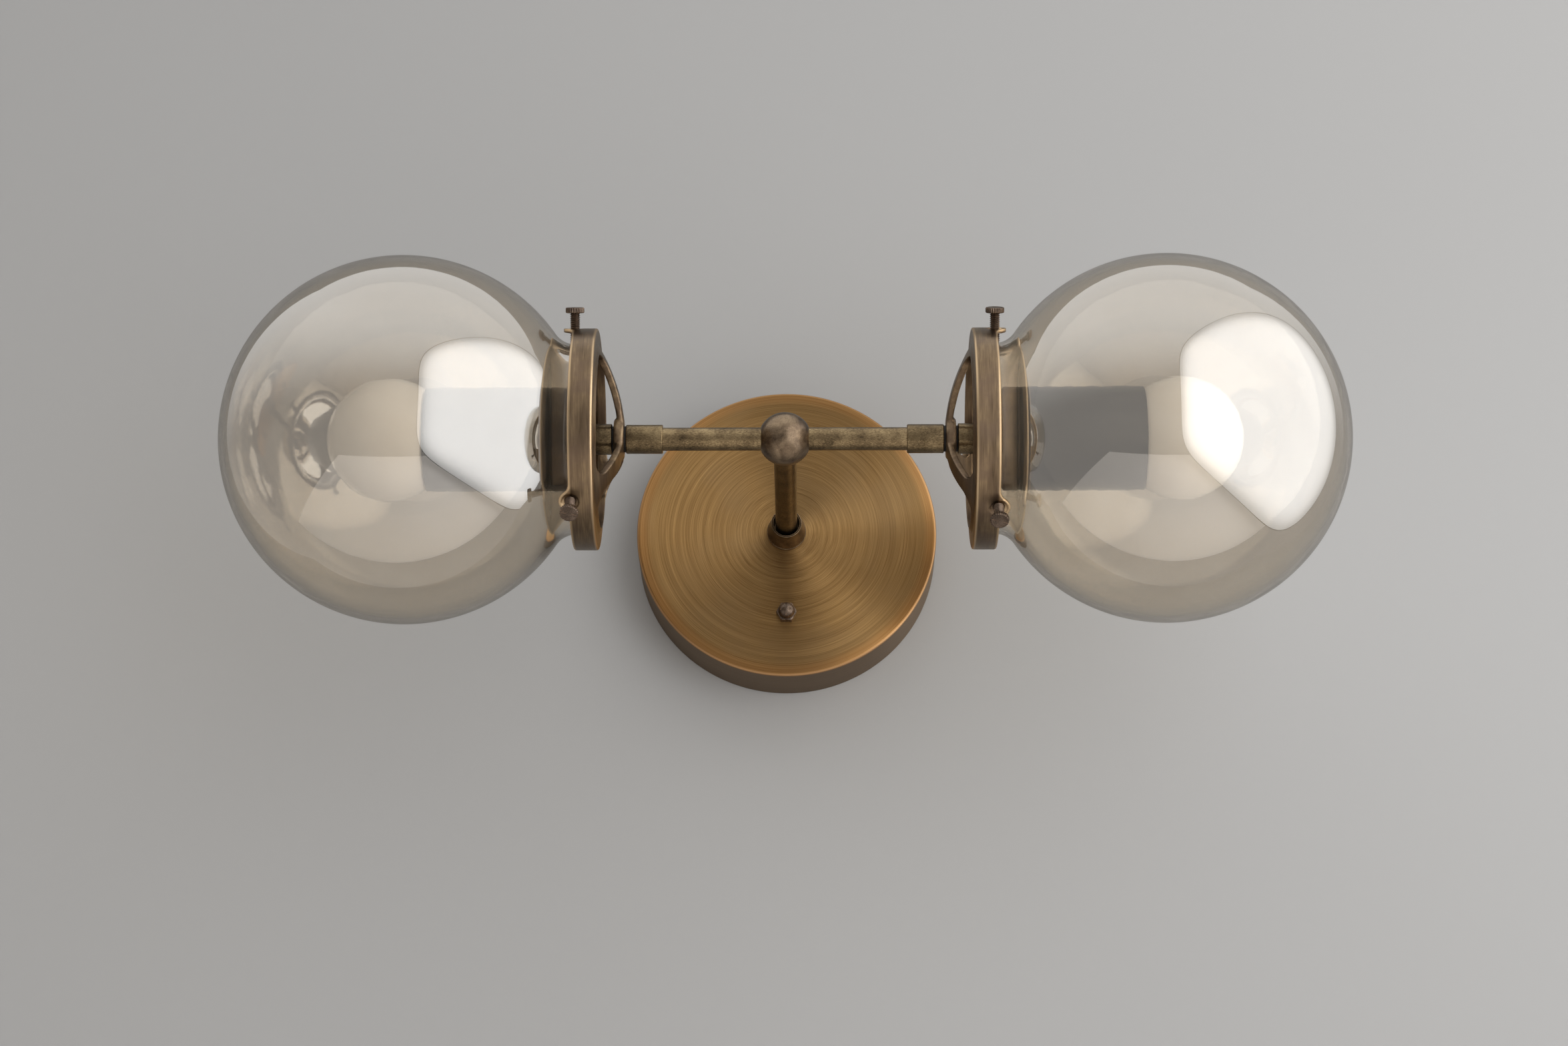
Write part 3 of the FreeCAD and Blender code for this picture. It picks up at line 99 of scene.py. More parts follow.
RIDGE_SEGMENTS = 12
ACORN_HEX_THICKNESS = 3.4 * MM
ACORN_DOME_RADIUS = 3.55 * MM
ACORN_DOME_CENTRE = 4.6 * MM
ACORN_CHAMFER = 0.35 * MM
CAST_VOXEL = 0.34 * MM
RING_DEPTH = 10.0 * MM
EAR_REACH = 4.0 * MM
HUB_BLEND = (7.0 * MM, 8.3 * MM, 12.0 * MM, 14.5 * MM)
HUB_FAIRING = 45
CAST_SOFTENING = 7
GLOBE_SEGMENTS = 288
GLOBE_STEPS = 110


# ---- places read from the frame ------------------------------------------------------------------

def middle(node):
    low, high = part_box(node)
    return (low + high) / 2


CANOPY_LOW, CANOPY_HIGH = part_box("canopy")
CANOPY_RADIUS = (CANOPY_HIGH.x - CANOPY_LOW.x) / 2
CANOPY_DEPTH = -CANOPY_LOW.y
ARM_CENTRE = Vector((0, middle("right_arm_tube").y, middle("right_arm_tube").z))
TUBE_RADIUS = (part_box("right_arm_tube")[1].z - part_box("right_arm_tube")[0].z) / 2
WALL_CENTRE = Vector((0, 0, 0))
OUTWARD = Vector((0, -1, 0))


# ---- mesh builders -------------------------------------------------------------------------------

def arc(centre, radius, start, end, steps):
    """Points on an arc in the (along, radius) plane, from one angle to another in degrees."""
    points = []
    for step in range(steps + 1):
        turn = math.radians(start + (end - start) * step / steps)
        points.append((centre[0] + radius * math.cos(turn), centre[1] + radius * math.sin(turn)))
    return points


def shown_mesh(name, vertices, faces, sharp_angle=32):
    mesh = bpy.data.meshes.new(name)
    mesh.from_pydata(vertices, [], faces)
    work = bmesh.new()
    work.from_mesh(mesh)
    bmesh.ops.recalc_face_normals(work, faces=work.faces)
    work.to_mesh(mesh)
    work.free()
    mesh.shade_smooth()
    mesh.set_sharp_from_angle(angle=math.radians(sharp_angle))
    piece = bpy.data.objects.new(name, mesh)
    bpy.context.scene.collection.objects.link(piece)
    return piece


def cross_axes(direction):
    """Two directions square to an axis and to each other."""
    across = Vector((0, 0, 1)) if abs(direction.z) < 0.9 else Vector((1, 0, 0))
    across = (across - direction * across.dot(direction)).normalized()
    return across, direction.cross(across)


def distinct(profile):
    """The profile without the points that repeat the one before them."""
    kept = []
    for along, radius in profile:
        if kept and not callable(radius) and not callable(kept[-1][1]):
            if math.dist((along, radius), kept[-1]) < 1e-9:
                continue
        kept.append((along, radius))
    return kept


def turned(name, origin, direction, profile, segments=160, sharp_angle=32):
    """A turned solid from a loop of (along, radius) pairs; a radius may depend on the angle."""
    across, aside = cross_axes(direction)
    vertices = []
    rings = []
    for along, radius in distinct(profile):
        ring = []
        if not callable(radius) and radius < 1e-9:
            vertices.append(origin + direction * along)
            rings.append([len(vertices) - 1] * segments)
            continue
        for segment in range(segments):
            turn = 2 * math.pi * segment / segments
            reach = radius(turn) if callable(radius) else radius
            spot = across * (reach * math.cos(turn)) + aside * (reach * math.sin(turn))
            vertices.append(origin + direction * along + spot)
            ring.append(len(vertices) - 1)
        rings.append(ring)
    faces = []
    for row, ring in enumerate(rings):
        after = rings[(row + 1) % len(rings)]
        if ring[0] == ring[1] and after[0] == after[1]:
            continue
        for segment in range(segments):
            ahead = (segment + 1) % segments
            corners = [ring[segment], ring[ahead], after[ahead], after[segment]]
            faces.append(list(dict.fromkeys(corners)))
    return shown_mesh(name, vertices, faces, sharp_angle)


def threaded_shank(origin, direction, start, end):
    """A rod with a real screw thread, its ends closed, and its tip chamfered."""
    def thread(along):
        def reach(turn):
            share = (along / THREAD_PITCH - turn / (2 * math.pi)) % 1
            flank = (abs(share - 0.5) - THREAD_CREST / 2) / (0.5 - THREAD_CREST)
            height = SCREW_RADIUS - THREAD_DEPTH * min(max(flank, 0.0), 1.0)
            return min(height, SCREW_RADIUS - SCREW_TIP_CHAMFER + (along - start))
        return reach

    steps = round((end - start) / THREAD_PITCH * THREAD_ROWS)
    places = [start + (end - start) * step / steps for step in range(steps + 1)]
    profile = [(start, 0.0)] + [(place, thread(place)) for place in places] + [(end, 0.0)]
    return turned("shank", origin, direction, profile, THREAD_SEGMENTS, 40)


def joined(name, pieces):
    """One object that holds the meshes of several."""
    work = bmesh.new()
    for piece in pieces:
        work.from_mesh(piece.data)
        bpy.data.objects.remove(piece)
    mesh = bpy.data.meshes.new(name)
    work.to_mesh(mesh)
    work.free()
    result = bpy.data.objects.new(name, mesh)
    bpy.context.scene.collection.objects.link(result)
    return result


def applied(piece):
    """Applies a piece's modifiers."""
    graph = bpy.context.evaluated_depsgraph_get()
    mesh = bpy.data.meshes.new_from_object(piece.evaluated_get(graph))
    piece.modifiers.clear()
    piece.data = mesh


def dress(piece, material, body, node):
    """Gives a piece its finish, the body it rides on and the node it stands for."""
    piece.data.materials.clear()
    piece.data.materials.append(material)
    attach(piece, body)
    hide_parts(node)
    return piece


# ---- materials, whose places and widths are in millimetres ---------------------------------------

# Width, in millimetres, of the band on the holder ring's edges that is painted bright, as rubbed brass
# and a painted highlight.
RIM_WEAR_AND_HIGHLIGHT = 1.3


class Graph:
    """Builds a material's node tree. Places are millimetres in the frame, so scales are real."""

    def __init__(self, name):
        self.material = bpy.data.materials.new(name)
        self.grow(self.material, "OutputMaterial")
        coordinates = self.add("TexCoord")
        self.place = self.vector("SCALE", coordinates.outputs["Object"], scale=1000)

    def grow(self, owner, output):
        """Starts an empty node tree on a material or a world."""
        owner.use_nodes = True
        self.tree = owner.node_tree
        self.tree.nodes.clear()
        self.output = self.add(output)

    def add(self, kind, inputs=None, **settings):
        node = self.tree.nodes.new("ShaderNode" + kind)
        for key, value in settings.items():
            setattr(node, key, value)
        for key, value in (inputs or {}).items():
            self.feed(node.inputs[key], value)
        return node

    def feed(self, socket, value):
        if isinstance(value, bpy.types.NodeSocket):
            self.tree.links.new(value, socket)
        else:
            socket.default_value = value

    def math(self, operation, first, second=0.0, clamp=False):
        return self.add("Math", {0: first, 1: second}, operation=operation, use_clamp=clamp).outputs[0]

    def vector(self, operation, first, second=(0, 0, 0), scale=1.0):
        node = self.add("VectorMath", {0: first, 1: second, 3: scale}, operation=operation)
        return node.outputs[1 if operation in ("LENGTH", "DOT_PRODUCT") else 0]

    def combine(self, x, y, z):
        return self.add("CombineXYZ", {0: x, 1: y, 2: z}).outputs[0]

    def noise(self, vector, scale, detail=3.0, roughness=0.55, w=None, distortion=0.0):
        inputs = {"Vector": vector, "Scale": scale, "Detail": detail, "Roughness": roughness,
                  "Distortion": distortion}
        if w is not None:
            inputs["W"] = w
        node = self.add("TexNoise", noise_dimensions="3D" if w is None else "4D")
        for key, value in inputs.items():
            self.feed(node.inputs[key], value)
        return node.outputs["Fac"]

    def ramp(self, factor, stops):
        """A colour ramp through (place, colour) stops."""
        node = self.add("ValToRGB", {"Fac": factor})
        elements = node.color_ramp.elements
        while len(elements) < len(stops):
            elements.new(0.5)
        for element, (place, colour) in zip(elements, stops):
            element.position = place
            element.color = (*colour, 1.0)
        return node.outputs["Color"]

    def level(self, factor, low, high, from_low=0.0, from_high=1.0, smooth=False):
        """Maps a factor's span on to another, clamped."""
        node = self.add("MapRange", {"Value": factor, "From Min": from_low, "From Max": from_high,
                                     "To Min": low, "To Max": high},
                        interpolation_type="SMOOTHSTEP" if smooth else "LINEAR")
        return node.outputs["Result"]

    def mix(self, factor, first, second):
        node = self.add("Mix", data_type="RGBA")
        self.feed(node.inputs["Factor"], factor)
        for socket, value in ((node.inputs[6], first), (node.inputs[7], second)):
            if not isinstance(value, bpy.types.NodeSocket) and len(value) == 3:
                value = (*value, 1.0)
            self.feed(socket, value)
        return node.outputs[2]

    def bump(self, height, distance, strength):
        """A bump of a real height: distance is the height, in millimetres, of a full step."""
        inputs = {"Height": height, "Distance": distance * MM, "Strength": strength}
        return self.add("Bump", inputs).outputs["Normal"]

    def polar(self, axis, centre):
        """Along an axis, distance from it, and the cosine and sine of the angle round it."""
        spot = self.vector("SUBTRACT", self.place, tuple(centre * 1000))
        x, y, z = self.add("SeparateXYZ", {0: spot}).outputs
        along, across, up = (x, y, z) if axis == "X" else (y, x, z)
        flat = self.combine(across, up, 0.0)
        radius = self.math("MAXIMUM", self.vector("LENGTH", flat), 0.001)
        return along, radius, self.math("DIVIDE", across, radius), self.math("DIVIDE", up, radius)

    def brushing(self, polar, density, arcs, detail=4.0, roughness=0.65):
        """Fine lines that run round an axis; arcs sets how often a line ends on its way round."""
        along, radius, cosine, sine = polar
        scaled = ((along, density), (radius, density), (cosine, arcs))
        vector = self.combine(*(self.math("MULTIPLY", part, factor) for part, factor in scaled))
        return self.noise(vector, 1.0, detail, roughness, w=self.math("MULTIPLY", sine, arcs))

    def gleam_direction(self, axis, centre):
        """The direction that highlights stretch in on metal brushed round an axis."""
        spot = self.vector("SUBTRACT", self.place, tuple(centre * 1000))
        unit = (1, 0, 0) if axis == "X" else (0, 1, 0)
        around = self.vector("NORMALIZE", self.vector("CROSS_PRODUCT", unit, spot))
        world = self.add("VectorTransform", {0: around}, vector_type="VECTOR", convert_from="OBJECT",
                         convert_to="WORLD").outputs[0]
        normal = self.add("NewGeometry").outputs["Normal"]
        return self.vector("NORMALIZE", self.vector("CROSS_PRODUCT", normal, world))

    def show(self, shader):
        self.tree.links.new(shader.outputs[0], self.output.inputs["Surface"])

    def show_either(self, factor, first, second):
        """Shows one shader where the factor is 0 and the other where it is 1."""
        self.show(self.add("MixShader", {0: factor, 1: first.outputs[0], 2: second.outputs[0]}))

    def principled(self, inputs):
        self.show(self.add("BsdfPrincipled", inputs))


class WorldGraph(Graph):
    """The same for the world, whose node tree has no places."""

    def __init__(self, name):
        self.world = bpy.data.worlds.new(name)
        self.grow(self.world, "OutputWorld")


def canopy_brass():
    """Circular-brushed brass: golden in the field, orange towards the rim, painted bright on the rim's
    edge as rubbed brass and a painted highlight, and painted darker and greyer on the side as shade and
    the wall's reflection.
    """
    graph = Graph("brushed_canopy_brass")
    polar = graph.polar("Y", WALL_CENTRE)
    along, radius = polar[:2]
    lines = graph.brushing(polar, 5.2, 1.1, detail=5.0, roughness=0.72)
    bands = graph.brushing(polar, 0.9, 0.9, detail=2.0)
    blotches = graph.noise(graph.place, 0.03, 2.0)
    tone = graph.math("ADD", graph.math("MULTIPLY", lines, 0.75), graph.math("MULTIPLY", bands, 0.25))
    field = graph.ramp(tone, [(0.36, (0.205, 0.110, 0.037)), (0.51, (0.325, 0.192, 0.073)),
                              (0.66, (0.50, 0.30, 0.115))])
    field = graph.mix(graph.level(blotches, 0.0, 0.35, 0.45, 0.7), field, (0.30, 0.20, 0.10))
    rim_start, rim_end = (CANOPY_RADIUS / MM) * 0.90, (CANOPY_RADIUS / MM) * 0.965
    near_rim = graph.level(radius, 0.0, 0.42, rim_start, rim_end, smooth=True)
    orange = graph.ramp(lines, [(0.3, (0.36, 0.155, 0.045)), (0.7, (0.55, 0.27, 0.09))])
    field = graph.mix(near_rim, field, orange)
    # The rounded rim edge is painted bright: partly rubbed brass, partly a painted highlight.
    edge_low = CANOPY_RADIUS / MM - 1.1
    rim_wear_and_highlight = graph.level(radius, 0.0, 1.0, edge_low, edge_low + 0.7, smooth=True)
    field = graph.mix(graph.math("MULTIPLY", rim_wear_and_highlight, 0.5), field, (0.80, 0.48, 0.25))
    # Painted shade and reflection: the side wall is painted darker and greyer, in place of the shaded
    # wall it reflects.
    depth = CANOPY_DEPTH / MM
    side = graph.level(along, 0.0, 1.0, -depth + 0.9, -depth + 2.0, smooth=True)
    shaded_side_tone = graph.ramp(tone, [(0.3, (0.19, 0.14, 0.10)), (0.7, (0.34, 0.25, 0.175))])
    field = graph.mix(side, field, shaded_side_tone)
    rough = graph.level(lines, 0.26, 0.42, 0.3, 0.7)
    graph.principled({
        "Base Color": field, "Metallic": 1.0, "Roughness": rough, "Anisotropic": 0.92,
        "Tangent": graph.gleam_direction("Y", WALL_CENTRE),
        "Normal": graph.bump(lines, 0.012, 0.7), "Coat Weight": 0.12, "Coat Roughness": 0.25,
    })
    return graph.material


def cast_brass(side):
    """The shade holder: brushed round its ring, browned by patina, and painted bright on its ring's
    edges, partly as rubbed brass and partly as a painted highlight.
    """
    graph = Graph(side + "_cast_brass")
    polar = graph.polar("X", ARM_CENTRE)
    lines = graph.brushing(polar, 4.2, 4.0, detail=5.0, roughness=0.7)
    bands = graph.brushing(polar, 0.30, 2.2, detail=2.0)
    cloud = graph.noise(graph.place, 0.09, 3.0)
    tone = graph.math("ADD", graph.math("MULTIPLY", lines, 0.5), graph.math("MULTIPLY", bands, 0.5))
    brass = graph.ramp(tone, [(0.34, (0.105, 0.072, 0.044)), (0.5, (0.215, 0.150, 0.092)),
                              (0.67, (0.41, 0.295, 0.168))])
    brass = graph.mix(graph.level(cloud, 0.0, 0.6, 0.42, 0.62), brass, (0.175, 0.12, 0.085))
    along, radius = polar[:2]
    rim_span, rim_radius = holder_rim(side)
    start, end = (reach / MM for reach in rim_span)
    half, edge = (end - start) / 2, rim_radius / MM
    # The ring's outer edges are painted bright: partly rubbed brass, partly a painted highlight.
    from_rim = graph.math("SUBTRACT", graph.math("ABSOLUTE", along), (start + end) / 2)
    from_rim = graph.math("ABSOLUTE", from_rim)
    rim = graph.level(from_rim, 0.0, 1.0, half - RIM_WEAR_AND_HIGHLIGHT, half - 0.35, smooth=True)
    outside = graph.level(radius, 0.0, 1.0, edge - RIM_WEAR_AND_HIGHLIGHT, edge - 0.5, smooth=True)
    edge_wear_and_highlight = graph.math("MULTIPLY", rim, outside)
    brass = graph.mix(graph.math("MULTIPLY", edge_wear_and_highlight, 0.85), brass, (0.80, 0.58, 0.35))
    rough = graph.level(lines, 0.27, 0.42, 0.3, 0.7)
    graph.principled({
        "Base Color": brass, "Metallic": 1.0, "Roughness": rough, "Anisotropic": 0.6,
        "Tangent": graph.gleam_direction("X", ARM_CENTRE),
        "Normal": graph.bump(lines, 0.014, 0.7), "Coat Weight": 0.08, "Coat Roughness": 0.3,
    })
    return graph.material


def speckled_brass(name, dark, middle_tone, light):
    """Satin tube with a fine speckled patina, drawn out a little along the arms."""
    graph = Graph(name)
    x, y, z = graph.add("SeparateXYZ", {0: graph.place}).outputs
    drawn = graph.combine(graph.math("MULTIPLY", x, 0.45), y, z)
    grains = graph.noise(drawn, 2.6, 6.0, 0.72)
    cloud = graph.noise(graph.place, 0.11, 3.0, 0.6)
    tone = graph.math("ADD", graph.math("MULTIPLY", grains, 0.58), graph.math("MULTIPLY", cloud, 0.42))
    colour = graph.ramp(tone, [(0.39, dark), (0.50, middle_tone), (0.63, light)])
    graph.principled({
        "Base Color": colour, "Metallic": 1.0,
        "Roughness": graph.level(grains, 0.38, 0.24, 0.3, 0.7),
        "Normal": graph.bump(grains, 0.02, 0.6), "Coat Weight": 0.06, "Coat Roughness": 0.3,
    })
    return graph.material


def polished_ball():
    """Polished brown brass with clouds of purplish tarnish."""
    graph = Graph("polished_ball_brass")
    cloud = graph.noise(graph.place, 0.16, 4.0, 0.6, distortion=0.6)
    grains = graph.noise(graph.place, 2.0, 5.0, 0.7)
    scratches = graph.noise(graph.vector("MULTIPLY", graph.place, (0.5, 3.0, 6.0)), 0.8, 4.0, 0.7)
    tone = graph.math("ADD", graph.math("MULTIPLY", cloud, 0.7), graph.math("MULTIPLY", grains, 0.3))
    colour = graph.ramp(tone, [(0.36, (0.105, 0.072, 0.049)), (0.50, (0.21, 0.150, 0.098)),
                               (0.66, (0.36, 0.265, 0.172))])
    graph.principled({
        "Base Color": colour, "Metallic": 1.0, "Roughness": graph.level(scratches, 0.26, 0.40, 0.3, 0.7),
        "Normal": graph.bump(scratches, 0.01, 0.5), "Coat Weight": 0.1, "Coat Roughness": 0.2,
    })
    return graph.material


def dark_brass(name="dark_brass", tint=(1.0, 1.0, 1.0), rubbed_and_glint=(0.50, 0.31, 0.19)):
    """Thumb screws, cap nuts and collar: nearly black bronze, painted coppery on sharp edges, partly as
    rubbed wear and partly as painted glints.
    """
    graph = Graph(name)
    grains = graph.noise(graph.place, 2.4, 5.0, 0.7)
    cloud = graph.noise(graph.place, 0.35, 3.0)
    tone = graph.math("ADD", graph.math("MULTIPLY", grains, 0.6), graph.math("MULTIPLY", cloud, 0.4))
    stops = [(0.36, (0.070, 0.052, 0.042)), (0.52, (0.150, 0.110, 0.084)), (0.68, (0.26, 0.195, 0.148))]
    stops = [(place, tuple(c * t for c, t in zip(colour, tint))) for place, colour in stops]
    colour = graph.ramp(tone, stops)
    # Sharp edges are painted coppery: partly rubbed brass, partly painted glints.
    pointiness = graph.add("NewGeometry").outputs["Pointiness"]
    edges = graph.level(pointiness, 0.0, 1.0, 0.53, 0.66, smooth=True)
    colour = graph.mix(graph.math("MULTIPLY", edges, 0.7), colour, rubbed_and_glint)
    graph.principled({
        "Base Color": colour, "Metallic": 1.0, "Roughness": graph.level(grains, 0.28, 0.46, 0.3, 0.7),
        "Normal": graph.bump(grains, 0.015, 0.6),
    })
    return graph.material


def plated_steel(name, colour, roughness=(0.22, 0.4)):
    graph = Graph(name)
    grains = graph.noise(graph.place, 0.9, 5.0, 0.65)
    spangle = graph.add("TexVoronoi", {"Vector": graph.place, "Scale": 0.5}).outputs["Distance"]
    tone = graph.math("ADD", graph.math("MULTIPLY", grains, 0.7), graph.math("MULTIPLY", spangle, 0.3))
    darker = tuple(c * 0.68 for c in colour)
    graph.principled({
        "Base Color": graph.ramp(tone, [(0.25, darker), (0.75, colour)]), "Metallic": 1.0,
        "Roughness": graph.level(grains, roughness[0], roughness[1], 0.3, 0.7),
        "Normal": graph.bump(grains, 0.01, 0.5),
    })
    return graph.material


def plain_plastic(name, colour, roughness=(0.32, 0.5), coat=0.0):
    graph = Graph(name)
    grains = graph.noise(graph.place, 1.1, 4.0, 0.6)
    darker = tuple(c * 0.86 for c in colour)
    graph.principled({
        "Base Color": graph.ramp(grains, [(0.3, darker), (0.7, colour)]),
        "Roughness": graph.level(grains, roughness[0], roughness[1], 0.3, 0.7),
        "Normal": graph.bump(grains, 0.01, 0.4), "Coat Weight": coat,
    })
    return graph.material


def opal_glass():
    """The bulb: white glass, glossy outside and softly cloudy inside."""
    graph = Graph("opal_bulb_glass")
    cloud = graph.noise(graph.place, 0.06, 3.0)
    graph.principled({
        "Base Color": graph.ramp(cloud, [(0.3, (0.92, 0.875, 0.825)), (0.7, (0.955, 0.92, 0.875))]),
        "Roughness": graph.level(cloud, 0.16, 0.24, 0.3, 0.7), "IOR": 1.5,
        "Subsurface Weight": 0.25, "Subsurface Radius": (1.0, 0.9, 0.8), "Subsurface Scale": 0.004,
        "Coat Weight": 0.4, "Coat Roughness": 0.06,
    })
    return graph.material


def lustre_glass(name, coated):
    """Smoked blown glass. The outside has a thin mirror-like lustre; lamps shine in through it."""
    graph = Graph(name)
    swirl = graph.noise(graph.place, 0.045, 2.0, 0.5, distortion=0.4)
    streaks = graph.noise(graph.vector("MULTIPLY", graph.place, (0.02, 0.16, 0.16)), 1.0, 4.0, 0.6)
    tint = graph.ramp(swirl, [(0.3, (0.815, 0.745, 0.640)), (0.7, (0.860, 0.800, 0.705))])
    waves = graph.math("ADD", graph.math("MULTIPLY", swirl, 0.7), graph.math("MULTIPLY", streaks, 0.3))
    glass = graph.add("BsdfPrincipled", {
        "Base Color": tint, "Roughness": 0.0, "IOR": 1.48, "Transmission Weight": 1.0,
        "Normal": graph.bump(waves, 0.35 if coated else 0.15, 0.5),
        "Coat Weight": 1.0, "Coat Roughness": 0.015, "Coat IOR": 3.4 if coated else 2.2,
    })
    lamps_through = graph.add("BsdfTransparent", {"Color": (0.965, 0.95, 0.925, 1.0)})
    graph.show_either(graph.add("LightPath").outputs["Is Shadow Ray"], glass, lamps_through)
    return graph.material


# ---- the canopy, stem and ball -------------------------------------------------------------------

def build_canopy(material):
    radius = CANOPY_RADIUS
    face = CANOPY_DEPTH
    edge = CANOPY_EDGE_RADIUS
    hole = TUBE_RADIUS + STEM_HOLE_GAP
    wall = CANOPY_WALL
    profile = [(0.0, radius - wall), (0.0, radius - CANOPY_FOOT_BREAK), (CANOPY_FOOT_BREAK, radius)]
    profile += arc((face - CANOPY_FALL - edge, radius - edge), edge, 90, 4, 14)
    for step in range(CANOPY_FALL_STEPS + 1):
        share = step / CANOPY_FALL_STEPS
        rise = CANOPY_FALL * (1 - (1 - share) ** 2)
        profile.append((face - CANOPY_FALL + rise, radius - edge - CANOPY_FALL_WIDTH * share))
    profile += [(face, radius * 0.6), (face, radius * 0.3), (face, hole), (face - wall, hole)]
    profile += [(face - wall, radius * 0.5), (face - wall, radius - 2.5 * edge)]
    profile += arc((face - wall - edge, radius - wall - edge), edge, 0, 90, 8)
    piece = turned("canopy_shell", WALL_CENTRE, OUTWARD, profile, CANOPY_SEGMENTS)
    return dress(piece, material, "fixture", "canopy")


def build_collar(material):
    low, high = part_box("stem_collar")
    base = (high.x - low.x) / 2
    foot, top = -high.y, -low.y
    ring = (COLLAR_LIP - COLLAR_BORE) / 4
    groove = (COLLAR_LIP + COLLAR_BORE) / 2
    bore = TUBE_RADIUS + COLLAR_GAP
    edge = COLLAR_EDGE
    profile = [(foot, bore), (foot, base - edge)]
    profile += arc((foot + edge, base - edge), edge, 180, 90, 4)
    profile += arc((foot + COLLAR_FOOT - edge, base - edge), edge, 90, 20, 4)
    start = profile[-1]
    end = (top - 1.6 * ring, COLLAR_LIP - 0.12 * MM)
    bend = (foot + COLLAR_WAIST_HEIGHT, COLLAR_WAIST - 0.35 * MM)
    for step in range(1, COLLAR_CURVE_STEPS + 1):
        t = step / COLLAR_CURVE_STEPS
        along = (1 - t) ** 2 * start[0] + 2 * t * (1 - t) * bend[0] + t ** 2 * end[0]
        across = (1 - t) ** 2 * start[1] + 2 * t * (1 - t) * bend[1] + t ** 2 * end[1]
        profile.append((along, across))
    profile += arc((top - ring, COLLAR_LIP - ring), ring, 110, 0, 7)
    profile.append((top - 0.3 * MM, groove))
    profile += arc((top - ring, COLLAR_BORE + ring), ring, 0, -90, 7)
    floor = foot + COLLAR_FLOOR
    profile += [(floor, COLLAR_BORE), (floor, bore)]
    piece = turned("collar_cone", WALL_CENTRE, OUTWARD, profile, 128)
    return dress(piece, material, "fixture", "stem_collar")


def build_stem(material):
    low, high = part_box("stem_tube")
    piece = tube_between("stem", WALL_CENTRE, OUTWARD, -high.y, -low.y)
    return dress(piece, material, "fixture", "stem_tube")


def tube_between(name, origin, direction, start, end):
    """A tube with lightly broken edges."""
    inner, radius, edge = TUBE_RADIUS - TUBE_WALL, TUBE_RADIUS, TUBE_EDGE
    profile = [(start, inner), (start, radius - edge), (start + edge, radius)]
    profile += [(start + edge + (end - start - 2 * edge) * step / TUBE_STEPS, radius)
                for step in range(1, TUBE_STEPS)]
    profile += [(end - edge, radius), (end, radius - edge), (end, inner)]
    return turned(name, origin, direction, profile, TUBE_SEGMENTS)


def build_ball(material):
    low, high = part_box("ball_body")
    radius = (high.z - low.z) / 2
    flat_angle = math.degrees(math.acos(BALL_FLAT / radius))
    profile = [(-BALL_FLAT, TUBE_RADIUS)] + arc((0, 0), radius, 180 - flat_angle, flat_angle, 96)
    profile.append((BALL_FLAT, TUBE_RADIUS))
    ball = turned("ball", ARM_CENTRE, Vector((1, 0, 0)), profile, 160)
    work = bmesh.new()
    work.from_mesh(ball.data)
    cut = bmesh.ops.bisect_plane(work, geom=work.verts[:] + work.edges[:] + work.faces[:],
                                 plane_co=ARM_CENTRE - OUTWARD * BALL_FLAT, plane_no=-OUTWARD,
                                 clear_outer=True)
    rim = [item for item in cut["geom_cut"] if isinstance(item, bmesh.types.BMEdge)]
    bmesh.ops.contextual_create(work, geom=rim)
    bmesh.ops.recalc_face_normals(work, faces=work.faces)
    work.to_mesh(ball.data)
    work.free()
    ball.data.shade_smooth()
    ball.data.set_sharp_from_angle(angle=math.radians(32))
    return dress(ball, material, "fixture", "ball_body")


def acorn_profile(flats, base, top):
    """Rows of a chamfered hexagon with a dome on it, all from the nut's seat."""
    def hexagon(turn):
        sector = (turn + math.pi / 6) % (math.pi / 3) - math.pi / 6
        return flats / 2 / math.cos(sector)

    def capped(limit):
        return lambda turn: min(hexagon(turn), limit)

    corner = flats / math.sqrt(3)
    rows = [(base, 0.0), (base, capped(flats / 2 * 0.99)), (base + ACORN_CHAMFER, capped(corner))]
    hex_top = base + ACORN_HEX_THICKNESS
    rows += [(hex_top - 1.4 * ACORN_CHAMFER, capped(corner)),
             (hex_top - 0.5 * ACORN_CHAMFER, capped(corner * 0.955)),
             (hex_top, capped(flats / 2 * 0.985)), (hex_top + 0.02 * MM, ACORN_DOME_RADIUS + 0.10 * MM)]
    rows.append((hex_top + 0.14 * MM, ACORN_DOME_RADIUS))
    centre = base + ACORN_DOME_CENTRE
    rows += arc((centre, 0), top - centre, 90, 0, 20)
    rows[-1] = (top, 0.0)
    return rows


def build_acorn_nut(place, material):
    node = "acorn_nut_" + place
    low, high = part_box(node)
    centre = (low + high) / 2
    flats = min(high.x - low.x, high.z - low.z)
    origin = Vector((centre.x, 0, centre.z))
    nut = turned("cap_nut_" + place, origin, OUTWARD, acorn_profile(flats, -high.y, -low.y), 144, 24)
    return dress(nut, material, "cap_nut_" + place, node)


# ---- one arm -------------------------------------------------------------------------------------

def arm_direction(side):
    return Vector((1 if side == "right" else -1, 0, 0))


def reach_of(side, node):
    """How far out along its arm a node starts and ends."""
    low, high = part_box(side + "_" + node)
    return (low.x, high.x) if side == "right" else (-high.x, -low.x)


def build_sleeve(side, node, material):
    start, end = reach_of(side, node)
    low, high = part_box(side + "_" + node)
    radius = (high.z - low.z) / 2
    edge = COUPLING_EDGE
    profile = [(start, TUBE_RADIUS)] + arc((start + edge, radius - edge), edge, 180, 90, 5)
    profile += arc((end - edge, radius - edge), edge, 90, 0, 5) + [(end, TUBE_RADIUS)]
    piece = turned(side + "_" + node + "_sleeve", ARM_CENTRE, arm_direction(side), profile, 128, 50)
    return dress(piece, material, "fixture", side + "_" + node)


